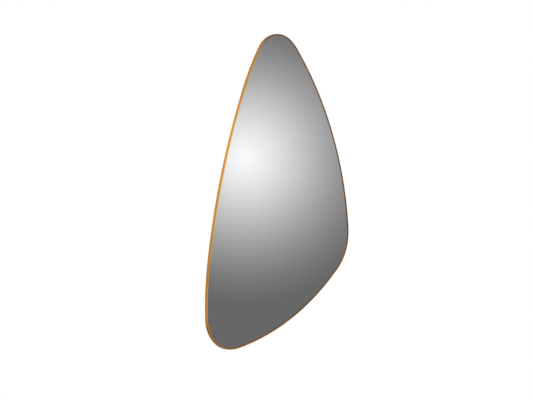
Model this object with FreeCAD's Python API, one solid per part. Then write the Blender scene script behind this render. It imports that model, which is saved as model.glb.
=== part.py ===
import FreeCAD, Part
import math
import os
from collections import namedtuple
from FreeCAD import Vector

# Triangular wall mirror in a slim band frame, all lengths in millimetres.
# X runs to the right as seen from the front, Y towards the wall and Z up.
# The wall is the plane Y = 0, and the origin lies midway between the two wall hooks.

# Corner arcs of the frame's outer edge, seen from the front
TOP_X = 3.0
TOP_Z = 176.5
TOP_RADIUS = 111.0
LOWER_X = -230.5
LOWER_Z = -698.0
LOWER_RADIUS = 114.5
SIDE_X = 209.5
SIDE_Z = -425.5
SIDE_RADIUS = 160.0

# Sides of the outer edge: a flat middle arc, two rounder end arcs,
# and the angle from the middle of the side at which an end arc meets its corner
LEFT_RADIUS = 2430.0
LEFT_END_RADIUS = 1014.0
LEFT_END_ANGLE = 17.2
BOTTOM_RADIUS = 1021.0
BOTTOM_END_RADIUS = 187.0
BOTTOM_END_ANGLE = 35.2
RIGHT_RADIUS = 1117.0
RIGHT_END_RADIUS = 215.0
RIGHT_END_ANGLE = 29.7

# Band frame, a flat bar bent on edge
FRAME_WALL = 4.0
FRAME_DEPTH = 10.0
FRAME_EDGE_BEVEL = 0.5

# Mirror pane, set back a little behind the front of the band
GLASS_THICKNESS = 4.0
GLASS_GAP = 0.6
GLASS_RECESS = 2.0
GLASS_FRONT_ARRIS = 0.6
GLASS_REAR_ARRIS = 0.5

# Foam mounting tape between pane and backing board
TAPE_THICKNESS = 1.0
TAPE_WIDTH = 25.0
TAPE_COUNT = 6
TAPE_MARGIN = 20.0
TAPE_SIDE_MARGIN = 45.0

# Backing board
BOARD_THICKNESS = 6.0
BOARD_GAP = 0.4
BOARD_BEVEL = 3.0

# Angle brackets that join the band to the board
BRACKETS_PER_SIDE = 3
BRACKET_WIDTH = 20.0
BRACKET_THICKNESS = 2.0
BRACKET_FOOT = 20.0
BRACKET_BEND = 1.0
BRACKET_CORNER = 3.0
BRACKET_GAP = 0.3
BRACKET_GLASS_GAP = 0.3
BRACKET_HOLE_INSET = 12.0
BRACKET_END_MARGIN = 45.0

# Pan-head screws, the same kind for brackets and hangers
SCREW_DIAMETER = 3.5
SCREW_LENGTH = 6.5
SCREW_POINT = 2.0
SCREW_HEAD_DIAMETER = 7.0
SCREW_CROWN_DIAMETER = 4.6
SCREW_HEAD_HEIGHT = 2.2
SCREW_HEAD_RIM = 0.8
SCREW_PASS_CLEARANCE = 0.25
SCREW_PILOT_CLEARANCE = 0.05
SCREW_PILOT_EXTRA = 0.5

# Ring hangers: a strap folded round the straight bar of a wire ring
HOOK_SPACING = 200.0
RING_WIRE = 3.0
RING_EYE_WIDTH = 20.0
RING_BEND = 3.0
RING_CROWN_RISE = 9.0
RING_FIT = 0.08
RING_REST_GAP = 0.3
STRAP_WIDTH = 14.0
STRAP_THICKNESS = 1.2
STRAP_LAYER_GAP = 0.1
STRAP_NECK_BEND = 1.5
STRAP_FIRST_HOLE = 10.0
STRAP_HOLE_PITCH = 18.0

# Rubber wall bumpers, one in each corner
BUMPER_HEIGHT = 7.0
BUMPER_BASE_DIAMETER = 18.0
BUMPER_FACE_DIAMETER = 15.0
BUMPER_EDGE_BEVEL = 1.2
BUMPER_EDGE_MARGIN = 30.0

Corner = namedtuple("Corner", "x z radius")
Side = namedtuple("Side", "radius end_radius end_angle")
Arc = namedtuple("Arc", "centre radius start end")

CORNERS = [
    Corner(TOP_X, TOP_Z, TOP_RADIUS),
    Corner(LOWER_X, LOWER_Z, LOWER_RADIUS),
    Corner(SIDE_X, SIDE_Z, SIDE_RADIUS),
]
SIDES = [
    Side(LEFT_RADIUS, LEFT_END_RADIUS, LEFT_END_ANGLE),
    Side(BOTTOM_RADIUS, BOTTOM_END_RADIUS, BOTTOM_END_ANGLE),
    Side(RIGHT_RADIUS, RIGHT_END_RADIUS, RIGHT_END_ANGLE),
]

# Planes of the stack, from the wall forwards
BOARD_REAR = -BUMPER_HEIGHT
BOARD_FRONT = BOARD_REAR - BOARD_THICKNESS
GLASS_REAR = BOARD_FRONT - TAPE_THICKNESS
GLASS_FRONT = GLASS_REAR - GLASS_THICKNESS
FRAME_FRONT = GLASS_FRONT - GLASS_RECESS
FRAME_REAR = FRAME_FRONT + FRAME_DEPTH

# A flat bracket stands off the curved band by the band's bow over its width
BRACKET_BOW = max(BRACKET_WIDTH ** 2 / 8 / (side.radius - FRAME_WALL) for side in SIDES)
BRACKET_SEAT = BRACKET_BOW + BRACKET_GAP

# Insets of the flat pieces from the frame's outer edge
GLASS_INSET = FRAME_WALL + GLASS_GAP
BOARD_INSET = FRAME_WALL + BRACKET_SEAT + BRACKET_THICKNESS + BOARD_GAP
TAPE_INSET = BOARD_INSET + TAPE_MARGIN

# Hanger sizes that follow from the wire and the strip
WIRE_RADIUS = RING_WIRE / 2
BARREL_INNER = WIRE_RADIUS + RING_FIT
BARREL_OUTER = BARREL_INNER + STRAP_THICKNESS
STRAP_STACK = 2 * STRAP_THICKNESS + STRAP_LAYER_GAP
RING_HALF = RING_EYE_WIDTH / 2 + WIRE_RADIUS
RING_REACH = RING_CROWN_RISE + RING_HALF
RING_LEAN = math.degrees(math.asin((BARREL_OUTER - WIRE_RADIUS - RING_REST_GAP) / RING_REACH))
PIVOT_Y = BOARD_REAR + BARREL_OUTER
PIVOT_Z = WIRE_RADIUS - RING_REACH

REAR = Vector(0, 1, 0)
ORIGIN = Vector(0, 0, 0)
DIAGONAL = math.sqrt(0.5)
SAME_PLACE = 1e-6


def direction(angle):
    """Unit vector in the plane of the outline, from an angle in radians."""
    return Vector(math.cos(angle), 0, math.sin(angle))


def bearing(vector):
    """Angle in radians of a vector in the plane of the outline."""
    return math.atan2(vector.z, vector.x)


def side_arcs(first, second, side):
    """Three tangent arcs that lead from one corner arc to the next."""
    start = Vector(first.x, 0, first.z)
    end = Vector(second.x, 0, second.z)
    facing = bearing(Vector(end.z - start.z, 0, start.x - end.x))
    leave = facing - math.radians(side.end_angle)
    arrive = facing + math.radians(side.end_angle)
    near = start - direction(leave) * (side.end_radius - first.radius)
    far = end - direction(arrive) * (side.end_radius - second.radius)
    span = far - near
    inward = Vector(-span.z, 0, span.x).normalize()
    rise = math.sqrt((side.radius - side.end_radius) ** 2 - (span.Length / 2) ** 2)
    centre = (near + far) * 0.5 + inward * rise
    turn_in = bearing(near - centre)
    turn_out = bearing(far - centre)
    return [
        Arc(near, side.end_radius, leave, turn_in),
        Arc(centre, side.radius, turn_in, turn_out),
        Arc(far, side.end_radius, turn_out, arrive),
    ]


def outline_arcs():
    """Arcs of the frame's outer edge, corner by corner, with the sides between."""
    sides = [side_arcs(CORNERS[i], CORNERS[(i + 1) % 3], SIDES[i]) for i in range(3)]
    arcs = []
    for i, corner in enumerate(CORNERS):
        centre = Vector(corner.x, 0, corner.z)
        arcs.append(Arc(centre, corner.radius, sides[i - 1][-1].end, sides[i][0].start))
        arcs.extend(sides[i])
    return [arc._replace(end=arc.start + (arc.end - arc.start) % math.tau) for arc in arcs]


OUTLINE = outline_arcs()
CORNER_ARCS = OUTLINE[0::4]
MIDDLE_ARCS = OUTLINE[2::4]


def outline_face(inset, y):
    """Face inside the outline, moved inwards by an inset, at a given depth."""
    edges = []
    for arc in OUTLINE:
        angles = (arc.start, (arc.start + arc.end) / 2, arc.end)
        points = [arc.centre + direction(a) * (arc.radius - inset) + REAR * y for a in angles]
        edges.append(Part.Arc(*points).toShape())
    return Part.Face(Part.Wire(edges))


def slab(inset, front, rear):
    """Flat plate with the inset outline, between two depths."""
    return outline_face(inset, front).extrude(REAR * (rear - front))


def edges_at(shape, y):
    """Edges of a shape that lie wholly at one depth."""
    return [e for e in shape.Edges if all(abs(v.Y - y) < SAME_PLACE for v in e.Vertexes)]


def closed_wire(start, legs):
    """Closed wire from a start point. A leg is an end point, or a via point and an end point for an arc."""
    edges = []
    here = start
    for leg in legs:
        *via, there = leg if isinstance(leg, tuple) else (leg,)
        curve = Part.Arc(here, *via, there) if via else Part.LineSegment(here, there)
        edges.append(curve.toShape())
        here = there
    return Part.Wire(edges)


def turned(corners):
    """Solid turned about the Y axis from the corners of its half section."""
    return Part.Face(Part.makePolygon(corners + corners[:1])).revolve(ORIGIN, REAR, 360)


def hole(diameter, depth, extra=0.0):
    """Round cutter that runs from a surface at Y = 0 into the material behind it."""
    return Part.makeCylinder(diameter / 2, depth + extra, REAR * extra, -REAR)


def facing_out(shape, angle, position):
    """Shape turned so that its local Z points along an outward angle, then moved."""
    return shape.rotated(ORIGIN, REAR, 90 - math.degrees(angle)).translated(position)


# Band frame

def frame_band():
    """Flat bar bent to the outline, with its four edges broken."""
    opening = slab(FRAME_WALL, FRAME_FRONT - FRAME_WALL, FRAME_REAR + FRAME_WALL)
    band = slab(0, FRAME_FRONT, FRAME_REAR).cut(opening)
    return band.makeChamfer(FRAME_EDGE_BEVEL, edges_at(band, FRAME_FRONT) + edges_at(band, FRAME_REAR))


# Mirror pane and what carries it

def mirror_glass():
    """Mirror pane with ground arrises on both faces."""
    pane = slab(GLASS_INSET, GLASS_FRONT, GLASS_REAR)
    pane = pane.makeChamfer(GLASS_FRONT_ARRIS, edges_at(pane, GLASS_FRONT))
    return pane.makeChamfer(GLASS_REAR_ARRIS, edges_at(pane, GLASS_REAR))


def backing_board(screw_seats):
    """Board with a bevelled rear edge and a blind pilot hole under every screw."""
    board = slab(BOARD_INSET, BOARD_FRONT, BOARD_REAR)
    board = board.makeChamfer(BOARD_BEVEL, edges_at(board, BOARD_REAR))
    diameter = SCREW_DIAMETER + 2 * SCREW_PILOT_CLEARANCE
    pilots = []
    for seat in screw_seats:
        depth = SCREW_LENGTH - (seat.y - BOARD_REAR) + SCREW_PILOT_EXTRA
        pilots.append(hole(diameter, depth).translated(Vector(seat.x, BOARD_REAR, seat.z)))
    return board.cut(pilots)


def tape_strips():
    """Upright strips of tape, each cut square where it nears the edge of the board."""
    area = outline_face(TAPE_INSET, 0)
    bounds = area.BoundBox
    first = bounds.XMin + TAPE_SIDE_MARGIN
    step = (bounds.XMax - TAPE_SIDE_MARGIN - first) / (TAPE_COUNT - 1)
    strips = []
    for i in range(TAPE_COUNT):
        left = first + i * step - TAPE_WIDTH / 2
        spans = []
        for x in (left, left + TAPE_WIDTH):
            line = Part.makeLine(Vector(x, 0, bounds.ZMin), Vector(x, 0, bounds.ZMax))
            spans.append(area.common(line).BoundBox)
        bottom = max(span.ZMin for span in spans)
        top = min(span.ZMax for span in spans)
        corner = Vector(left, GLASS_REAR, bottom)
        strips.append(Part.makeBox(TAPE_WIDTH, TAPE_THICKNESS, top - bottom, corner))
    return strips


# Angle brackets

def bracket_places():
    """Outward angle and point on the band's inner wall for every bracket."""
    places = []
    for arc in MIDDLE_ARCS:
        inner = arc.radius - FRAME_WALL
        first = arc.start + BRACKET_END_MARGIN / inner
        step = (arc.end - BRACKET_END_MARGIN / inner - first) / (BRACKETS_PER_SIDE - 1)
        for i in range(BRACKETS_PER_SIDE):
            angle = first + i * step
            places.append((angle, arc.centre + direction(angle) * inner))
    return places


def bracket_blank():
    """Angle bracket as it stands at the top of the outline, its leg against the band."""
    leg_front = GLASS_REAR + BRACKET_GLASS_GAP
    rear = BOARD_REAR + BRACKET_THICKNESS
    outer = -BRACKET_SEAT
    inner = outer - BRACKET_THICKNESS
    foot_end = outer - BRACKET_FOOT
    centre_y = BOARD_REAR - BRACKET_BEND
    centre_z = inner - BRACKET_BEND
    inner_middle = BRACKET_BEND * DIAGONAL
    outer_middle = (BRACKET_BEND + BRACKET_THICKNESS) * DIAGONAL

    def point(y, z):
        return Vector(-BRACKET_WIDTH / 2, y, z)

    profile = closed_wire(point(leg_front, outer), [
        point(centre_y, outer),
        (point(centre_y + outer_middle, centre_z + outer_middle), point(rear, centre_z)),
        point(rear, foot_end),
        point(BOARD_REAR, foot_end),
        point(BOARD_REAR, centre_z),
        (point(centre_y + inner_middle, centre_z + inner_middle), point(centre_y, inner)),
        point(leg_front, inner),
        point(leg_front, outer),
    ])
    blank = Part.Face(profile).extrude(Vector(BRACKET_WIDTH, 0, 0))
    foot_corners = [
        e for e in blank.Edges
        if all(abs(v.Z - foot_end) < SAME_PLACE for v in e.Vertexes) and e.BoundBox.XLength < SAME_PLACE
    ]
    blank = blank.makeFillet(BRACKET_CORNER, foot_corners)
    passage = hole(SCREW_DIAMETER + 2 * SCREW_PASS_CLEARANCE, 2 * BRACKET_THICKNESS, BRACKET_THICKNESS)
    return blank.cut(passage.translated(Vector(0, rear, outer - BRACKET_HOLE_INSET)))


def bracket_screw_seat(angle, wall_point):
    """Point on a bracket's foot where its screw head sits."""
    inset = BRACKET_SEAT + BRACKET_HOLE_INSET
    return wall_point - direction(angle) * inset + REAR * (BOARD_REAR + BRACKET_THICKNESS)


# Screws

def screw():
    """Pan-head screw along Y, its head seated at the origin and its point in front."""
    head = SCREW_HEAD_DIAMETER / 2
    shank = SCREW_DIAMETER / 2
    corners = [
        ORIGIN + REAR * SCREW_HEAD_HEIGHT,
        Vector(SCREW_CROWN_DIAMETER / 2, SCREW_HEAD_HEIGHT, 0),
        Vector(head, SCREW_HEAD_RIM, 0),
        Vector(head, 0, 0),
        Vector(shank, 0, 0),
        Vector(shank, SCREW_POINT - SCREW_LENGTH, 0),
        Vector(0, -SCREW_LENGTH, 0),
    ]
    return turned(corners)


def screw_group(seats):
    """One screw on every seat, as separate solids."""
    return Part.makeCompound([screw().translated(seat) for seat in seats])


# Ring hangers

def hanger_places():
    """Pivot point of the left and the right hanger."""
    return {name: Vector(sign * HOOK_SPACING / 2, PIVOT_Y, PIVOT_Z)
            for name, sign in (("left", -1), ("right", 1))}


def strap_hole_drops():
    """Distances of the strap's two screw holes below the pivot."""
    return STRAP_FIRST_HOLE, STRAP_FIRST_HOLE + STRAP_HOLE_PITCH


def hanger_strap():
    """Strip folded round the ring's bar, both layers lying on the board below it."""
    half = STRAP_WIDTH / 2
    end_drop = strap_hole_drops()[-1]
    tail = -end_drop - half
    upper_face = STRAP_STACK - BARREL_OUTER
    lower_face = upper_face - STRAP_THICKNESS
    neck_y = upper_face + STRAP_NECK_BEND
    neck_z = -math.sqrt((BARREL_OUTER + STRAP_NECK_BEND) ** 2 - neck_y ** 2)
    wrap = math.atan2(neck_y, neck_z)
    outer_neck = STRAP_NECK_BEND + STRAP_THICKNESS
    middle = (wrap - math.pi / 2) / 2

    def point(y, z):
        return Vector(-half, y, z)

    def on_barrel(radius, angle):
        return point(radius * math.sin(angle), radius * math.cos(angle))

    def on_neck(radius, angle):
        return point(neck_y - radius * math.cos(angle), neck_z + radius * math.sin(angle))

    strip = closed_wire(point(-BARREL_OUTER, tail), [
        point(-BARREL_OUTER, 0),
        (on_barrel(BARREL_OUTER, middle), on_barrel(BARREL_OUTER, wrap)),
        (on_neck(STRAP_NECK_BEND, middle), point(upper_face, neck_z)),
        point(upper_face, tail),
        point(lower_face, tail),
        point(lower_face, neck_z),
        (on_neck(outer_neck, middle), on_barrel(BARREL_INNER, wrap)),
        (on_barrel(BARREL_INNER, middle), point(-BARREL_INNER, 0)),
        point(-BARREL_INNER, tail),
        point(-BARREL_OUTER, tail),
    ])
    beyond = 2 * BARREL_OUTER

    def plan(x, z):
        return Vector(x, -beyond, z)

    tongue = closed_wire(plan(half, beyond), [
        plan(half, -end_drop),
        (plan(0, tail), plan(-half, -end_drop)),
        plan(-half, beyond),
        plan(half, beyond),
    ])
    strap = Part.Face(strip).extrude(Vector(STRAP_WIDTH, 0, 0))
    strap = strap.common(Part.Face(tongue).extrude(REAR * 2 * beyond))
    passage = hole(SCREW_DIAMETER + 2 * SCREW_PASS_CLEARANCE, 2 * STRAP_STACK, STRAP_STACK)
    return strap.cut([passage.translated(Vector(0, upper_face, -drop)) for drop in strap_hole_drops()])


def hanger_ring():
    """Wire ring, its straight bar on the X axis, leaning back until its crown nears the board."""
    bar = RING_HALF - RING_BEND
    corner_x = bar + RING_BEND * DIAGONAL
    corner_z = RING_BEND - RING_BEND * DIAGONAL

    def point(x, z):
        return Vector(x, 0, z)

    path = closed_wire(ORIGIN, [
        point(bar, 0),
        (point(corner_x, corner_z), point(RING_HALF, RING_BEND)),
        point(RING_HALF, RING_CROWN_RISE),
        (point(0, RING_REACH), point(-RING_HALF, RING_CROWN_RISE)),
        point(-RING_HALF, RING_BEND),
        (point(-corner_x, corner_z), point(-bar, 0)),
        ORIGIN,
    ])
    section = Part.Wire(Part.Circle(ORIGIN, Vector(1, 0, 0), WIRE_RADIUS).toShape())
    ring = path.makePipeShell([section], True, False)
    return ring.rotated(ORIGIN, Vector(1, 0, 0), RING_LEAN)


def hanger_screw_seats():
    """Points on the straps where the hanger screws' heads sit."""
    rise = REAR * (STRAP_STACK - BARREL_OUTER)
    return [pivot + rise - Vector(0, 0, drop)
            for pivot in hanger_places().values() for drop in strap_hole_drops()]


# Wall bumpers

def bumper():
    """Tapered rubber bumper, its base at the origin and its flat face to the rear."""
    cone = turned([
        ORIGIN,
        Vector(BUMPER_BASE_DIAMETER / 2, 0, 0),
        Vector(BUMPER_FACE_DIAMETER / 2, BUMPER_HEIGHT, 0),
        REAR * BUMPER_HEIGHT,
    ])
    return cone.makeChamfer(BUMPER_EDGE_BEVEL, edges_at(cone, BUMPER_HEIGHT))


def bumper_places():
    """Centre of each bumper on the board's rear face, one near every corner."""
    places = []
    for arc in CORNER_ARCS:
        reach = arc.radius - BOARD_INSET - BUMPER_EDGE_MARGIN
        places.append(arc.centre + direction((arc.start + arc.end) / 2) * reach + REAR * BOARD_REAR)
    return places


def numbered(stem, shapes):
    """Name each shape of a set with its number in the set."""
    return {f"{stem}_{number}": shape for number, shape in enumerate(shapes, start=1)}


def build():
    """All pieces of the mirror by name."""
    brackets = bracket_places()
    bracket_seats = [bracket_screw_seat(angle, point) for angle, point in brackets]
    hanger_seats = hanger_screw_seats()
    pieces = {
        "frame_band": frame_band(),
        "mirror_glass": mirror_glass(),
        "backing_board": backing_board(bracket_seats + hanger_seats),
        "bracket_screws": screw_group(bracket_seats),
        "hanger_screws": screw_group(hanger_seats),
    }
    pieces.update(numbered("mounting_tape", tape_strips()))
    pieces.update(numbered("frame_bracket", [facing_out(bracket_blank(), *place) for place in brackets]))
    pieces.update(numbered("wall_bumper", [bumper().translated(place) for place in bumper_places()]))
    for side, pivot in hanger_places().items():
        pieces[f"hanger_strap_{side}"] = hanger_strap().translated(pivot)
        pieces[f"hanger_ring_{side}"] = hanger_ring().translated(pivot)
    return pieces


os.makedirs("parts", exist_ok=True)
for name, shape in build().items():
    shape.exportStep(f"parts/{name}.step")
    print(f"{name}: {len(shape.Solids)} solid(s), {shape.Volume:.1f} mm3, valid {shape.isValid()}")
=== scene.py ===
"""Looks of a triangular wall mirror: gilded band, silvered pane and the fittings on its back."""

from __future__ import annotations

import logging
import math
from abc import ABC, abstractmethod
from dataclasses import dataclass, replace
from enum import Enum, IntEnum
from typing import Any, Iterable, Mapping, Sequence, TypeVar, Union

import bmesh
import bpy
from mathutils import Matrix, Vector


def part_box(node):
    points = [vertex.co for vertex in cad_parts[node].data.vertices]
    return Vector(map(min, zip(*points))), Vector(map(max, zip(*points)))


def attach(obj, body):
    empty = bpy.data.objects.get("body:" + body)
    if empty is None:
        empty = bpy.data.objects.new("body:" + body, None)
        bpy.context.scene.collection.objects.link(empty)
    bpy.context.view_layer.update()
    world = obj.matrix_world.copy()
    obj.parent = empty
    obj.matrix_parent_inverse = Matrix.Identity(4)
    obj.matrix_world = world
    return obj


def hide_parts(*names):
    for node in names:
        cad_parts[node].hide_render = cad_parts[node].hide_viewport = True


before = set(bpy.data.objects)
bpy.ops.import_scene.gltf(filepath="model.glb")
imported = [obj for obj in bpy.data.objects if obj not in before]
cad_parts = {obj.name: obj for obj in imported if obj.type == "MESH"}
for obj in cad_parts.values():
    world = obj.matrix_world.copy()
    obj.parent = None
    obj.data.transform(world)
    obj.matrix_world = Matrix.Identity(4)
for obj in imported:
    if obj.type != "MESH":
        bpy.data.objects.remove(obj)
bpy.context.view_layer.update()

LOG = logging.getLogger("wall_mirror")

MM = 0.001
MIRROR_BODY = "mirror"
BAND_NODE = "frame_band"
PANE_NODE = "mirror_glass"
BAND_WALL = 4.0 * MM

# What a swept mesh keeps for its finish: the run along the band, how near an edge is, and the leaf's cover.
RUN_MAP = "run"
RIM = "rim"
COVER = "cover"

# The curve from a screen level to a linear one, which is straight below its toe.
SCREEN_LEVELS = 255.0
SCREEN_OFFSET = 0.055
SCREEN_POWER = 2.4
SCREEN_TOE = 0.04045
SCREEN_TOE_SLOPE = 12.92

# Places of the sockets on a Mix and a Random Value node, because their names repeat.
MIX_SHARE = 0
MIX_LOW = 6
MIX_HIGH = 7
MIX_RESULT = 2
RANDOM_LOW_VECTOR = 0
RANDOM_HIGH_VECTOR = 1
RANDOM_LOW = 2
RANDOM_HIGH = 3
RANDOM_RESULT = 1

NOISE_MIDDLE = 0.5

# From the middle of a square to its corner, where its side is 1.
HALF_DIAGONAL = math.sqrt(0.5)

Colour = tuple[float, float, float]
Triple = tuple[float, float, float]
Span = tuple[float, float]
Shares = tuple[float, ...]
RingShares = tuple[tuple[float, float], ...]
Value = Union["Wire", float]
Level = TypeVar("Level", float, "Wire")

WHITE: Colour = (1.0, 1.0, 1.0)


class Slot(Enum):
    """The material slots that the scene's own pieces take."""

    GOLD_LEAF = "gold_leaf"
    MIRROR_SILVER = "mirror_silver"
    BACKING_FIBREBOARD = "backing_fibreboard"
    BRACKET_PAINT = "bracket_paint"
    ZINC_STEEL = "zinc_steel"
    BUMPER_RUBBER = "bumper_rubber"


class PaneSkin(IntEnum):
    """The surfaces of the glass pane, in the order of its material slots."""

    SILVER = 0
    ARRIS = 1
    BACK = 2


class Cover(float, Enum):
    """What covers the bar: whole leaf, worn or torn leaf, bare bole, or the bare black coat."""

    LEAF = 1.0
    WORN = 0.6
    TORN = 0.2
    BOLE = 0.1
    COAT = -0.8


class BarEdge(float, Enum):
    """The edges of the bar's section, by the angle in degrees at which the round of each one starts."""

    REAR_INNER = 0.0
    REAR_OUTER = 90.0
    FRONT_OUTER = 180.0
    FRONT_INNER = 270.0


class CellFeature(Enum):
    """What a cell pattern measures its distance to."""

    POINT = "F1"
    EDGE = "DISTANCE_TO_EDGE"


def linear(level: Level) -> Level:
    """Turns a screen level above the curve's toe, 0 to 1, into a linear one."""
    return ((level + SCREEN_OFFSET) / (1 + SCREEN_OFFSET)) ** SCREEN_POWER


def tone(red: float, green: float, blue: float) -> Colour:
    """Turns a screen colour into the linear colour that a shader takes.

    Args:
        red: Red level, 0 to 255.
        green: Green level, 0 to 255.
        blue: Blue level, 0 to 255.

    Returns:
        The linear red, green and blue.
    """
    shares = [level / SCREEN_LEVELS for level in (red, green, blue)]
    made = [share / SCREEN_TOE_SLOPE if share <= SCREEN_TOE else linear(share) for share in shares]
    return made[0], made[1], made[2]


@dataclass(frozen=True)
class Grain:
    """A noise pattern: how coarse, fine-drawn and rough it is, and how it is stretched and turned first."""

    scale: float
    detail: float = 3.0
    rough: float = 0.55
    stretch: Triple | None = None
    turn: Triple = (0.0, 0.0, 0.0)


class Wire:
    """An output socket that can be used in arithmetic, each step adding a Math node."""

    def __init__(self, graph: Graph, socket: bpy.types.NodeSocket) -> None:
        """Keeps the graph and the socket."""
        self.graph = graph
        self.socket = socket

    def _math(self, operation: str, *terms: Value) -> Wire:
        """Adds one Math node and returns its result."""
        return self.graph.out("ShaderNodeMath", {"operation": operation}, dict(enumerate(terms)))

    def __add__(self, other: Value) -> Wire:
        """Adds."""
        return self._math("ADD", self, other)

    def __radd__(self, other: float) -> Wire:
        """Adds to a number."""
        return self._math("ADD", other, self)

    def __sub__(self, other: Value) -> Wire:
        """Subtracts."""
        return self._math("SUBTRACT", self, other)

    def __rsub__(self, other: float) -> Wire:
        """Subtracts from a number."""
        return self._math("SUBTRACT", other, self)

    def __mul__(self, other: Value) -> Wire:
        """Multiplies."""
        return self._math("MULTIPLY", self, other)

    def __rmul__(self, other: float) -> Wire:
        """Multiplies a number."""
        return self._math("MULTIPLY", other, self)

    def __truediv__(self, other: Value) -> Wire:
        """Divides."""
        return self._math("DIVIDE", self, other)

    def __rtruediv__(self, other: float) -> Wire:
        """Divides a number."""
        return self._math("DIVIDE", other, self)

    def __pow__(self, other: Value) -> Wire:
        """Raises to a power."""
        return self._math("POWER", self, other)

    def floor(self) -> Wire:
        """Rounds down."""
        return self._math("FLOOR", self)

    def sine(self) -> Wire:
        """Takes the sine of an angle in radians."""
        return self._math("SINE", self)

    def lower(self, other: Value) -> Wire:
        """Takes the smaller of two values."""
        return self._math("MINIMUM", self, other)

    def higher(self, other: Value) -> Wire:
        """Takes the larger of two values."""
        return self._math("MAXIMUM", self, other)

    def bearing(self, across: Wire) -> Wire:
        """Takes the angle of a point whose height is this value, at a distance across."""
        return self._math("ARCTAN2", self, across)

    def wrapped(self, reach: float) -> Wire:
        """Wraps into the range from minus to plus a reach."""
        return self._math("WRAP", self, reach, -reach)


class Graph:
    """Adds nodes to one node tree."""

    def __init__(self, tree: bpy.types.NodeTree) -> None:
        """Keeps the tree and empties it."""
        self.tree = tree
        self.tree.nodes.clear()

    def node(
        self,
        kind: str,
        settings: Mapping[str, Any] | None = None,
        sockets: Mapping[Union[str, int], Any] | None = None,
    ) -> bpy.types.Node:
        """Adds a node, sets it up and then fills its sockets.

        Args:
            kind: The node's type.
            settings: Its own settings, set before the sockets.
            sockets: Numbers, colours or wires by socket name or place.

        Returns:
            The node.
        """
        node = self.tree.nodes.new(kind)
        for key, value in (settings or {}).items():
            setattr(node, key, value)
        for key, value in (sockets or {}).items():
            self._feed(node.inputs[key], value)
        return node

    def _feed(self, socket: bpy.types.NodeSocket, value: Any) -> None:
        """Links a wire, or each of several, to a socket, or sets its value.

        Args:
            socket: The input socket.
            value: A wire, a list of wires, or a plain value.
        """
        if isinstance(value, Wire):
            self.tree.links.new(value.socket, socket)
        elif isinstance(value, list):
            for wire in value:
                self.tree.links.new(wire.socket, socket)
        elif socket.type == "RGBA" and len(value) == 3:
            socket.default_value = (*value, 1.0)
        else:
            socket.default_value = value

    def out(
        self,
        kind: str,
        settings: Mapping[str, Any] | None = None,
        sockets: Mapping[Union[str, int], Any] | None = None,
        key: Union[str, int] = 0,
    ) -> Wire:
        """Adds a node, as node does, and returns one of its outputs, by name or place."""
        return Wire(self, self.node(kind, settings, sockets).outputs[key])

    def place(self) -> Wire:
        """Gives the point on the surface in object space, in metres."""
        return self.out("ShaderNodeTexCoord", key="Object")

    def axes(self, vector: Wire) -> tuple[Wire, Wire, Wire]:
        """Splits a vector into its x, y and z."""
        node = self.node("ShaderNodeSeparateXYZ", sockets={0: vector})
        return Wire(self, node.outputs[0]), Wire(self, node.outputs[1]), Wire(self, node.outputs[2])

    def attribute(self, name: str) -> Wire:
        """Reads a number kept on the mesh."""
        return self.out("ShaderNodeAttribute", {"attribute_name": name}, key="Fac")

    def noise(self, vector: Wire, grain: Grain) -> Wire:
        """Gives soft noise around one half.

        Args:
            vector: The place that it is read at.
            grain: The pattern.

        Returns:
            The noise.
        """
        if grain.stretch is not None:
            vector = self.out(
                "ShaderNodeMapping", sockets={0: vector, "Rotation": grain.turn, "Scale": grain.stretch}
            )
        return self.out(
            "ShaderNodeTexNoise",
            sockets={
                "Vector": vector,
                "Scale": grain.scale,
                "Detail": grain.detail,
                "Roughness": grain.rough,
            },
        )

    def shaken(self, vector: Wire, scale: float, reach: float) -> Wire:
        """Shifts a place by a small wandering amount.

        Args:
            vector: The place.
            scale: How close together the bends of the wandering lie.
            reach: How far it wanders from one side to the other, in metres.

        Returns:
            The shifted place.
        """
        middle = (NOISE_MIDDLE, NOISE_MIDDLE, NOISE_MIDDLE)
        drift = self.out("ShaderNodeTexNoise", sockets={"Vector": vector, "Scale": scale}, key="Color")
        centred = self.out("ShaderNodeVectorMath", {"operation": "SUBTRACT"}, {0: drift, 1: middle})
        shift = self.out("ShaderNodeVectorMath", {"operation": "SCALE"}, {0: centred, "Scale": reach})
        return self.out("ShaderNodeVectorMath", {"operation": "ADD"}, {0: vector, 1: shift})

    def cells(self, vector: Wire, scale: float, feature: CellFeature = CellFeature.POINT) -> Wire:
        """Gives the distance to the nearest cell point or cell edge."""
        sockets = {"Vector": vector, "Scale": scale}
        return self.out("ShaderNodeTexVoronoi", {"feature": feature.value}, sockets)

    def mixed(self, shares: Shares, *patterns: Wire) -> Wire:
        """Adds patterns up, each times its own share."""
        parts = [pattern * share for pattern, share in zip(patterns, shares, strict=True)]
        return sum(parts[1:], parts[0])

    def step(self, value: Wire, span: Span) -> Wire:
        """Goes smoothly from 0 at the start of a span to 1 at its end.

        Args:
            value: The value that is followed.
            span: Where the step starts and ends; the start may be the larger of the two.

        Returns:
            The step.
        """
        start, end = span
        return self.out(
            "ShaderNodeMapRange",
            {"interpolation_type": "SMOOTHSTEP"},
            {"Value": value, "From Min": start, "From Max": end},
        )

    def blend(self, share: Value, low: Union[Wire, Colour], high: Union[Wire, Colour]) -> Wire:
        """Mixes two colours."""
        sockets = {MIX_SHARE: share, MIX_LOW: low, MIX_HIGH: high}
        return self.out("ShaderNodeMix", {"data_type": "RGBA"}, sockets, key=MIX_RESULT)

    def bump(self, height: Wire, relief: float) -> Wire:
        """Turns a height between 0 and 1 into a normal, with its full height in metres."""
        return self.out("ShaderNodeBump", sockets={"Distance": relief, "Height": height})

    def surface(self, sockets: Mapping[str, Any]) -> Wire:
        """Adds the surface shader."""
        return self.out("ShaderNodeBsdfPrincipled", sockets=sockets)


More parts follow.
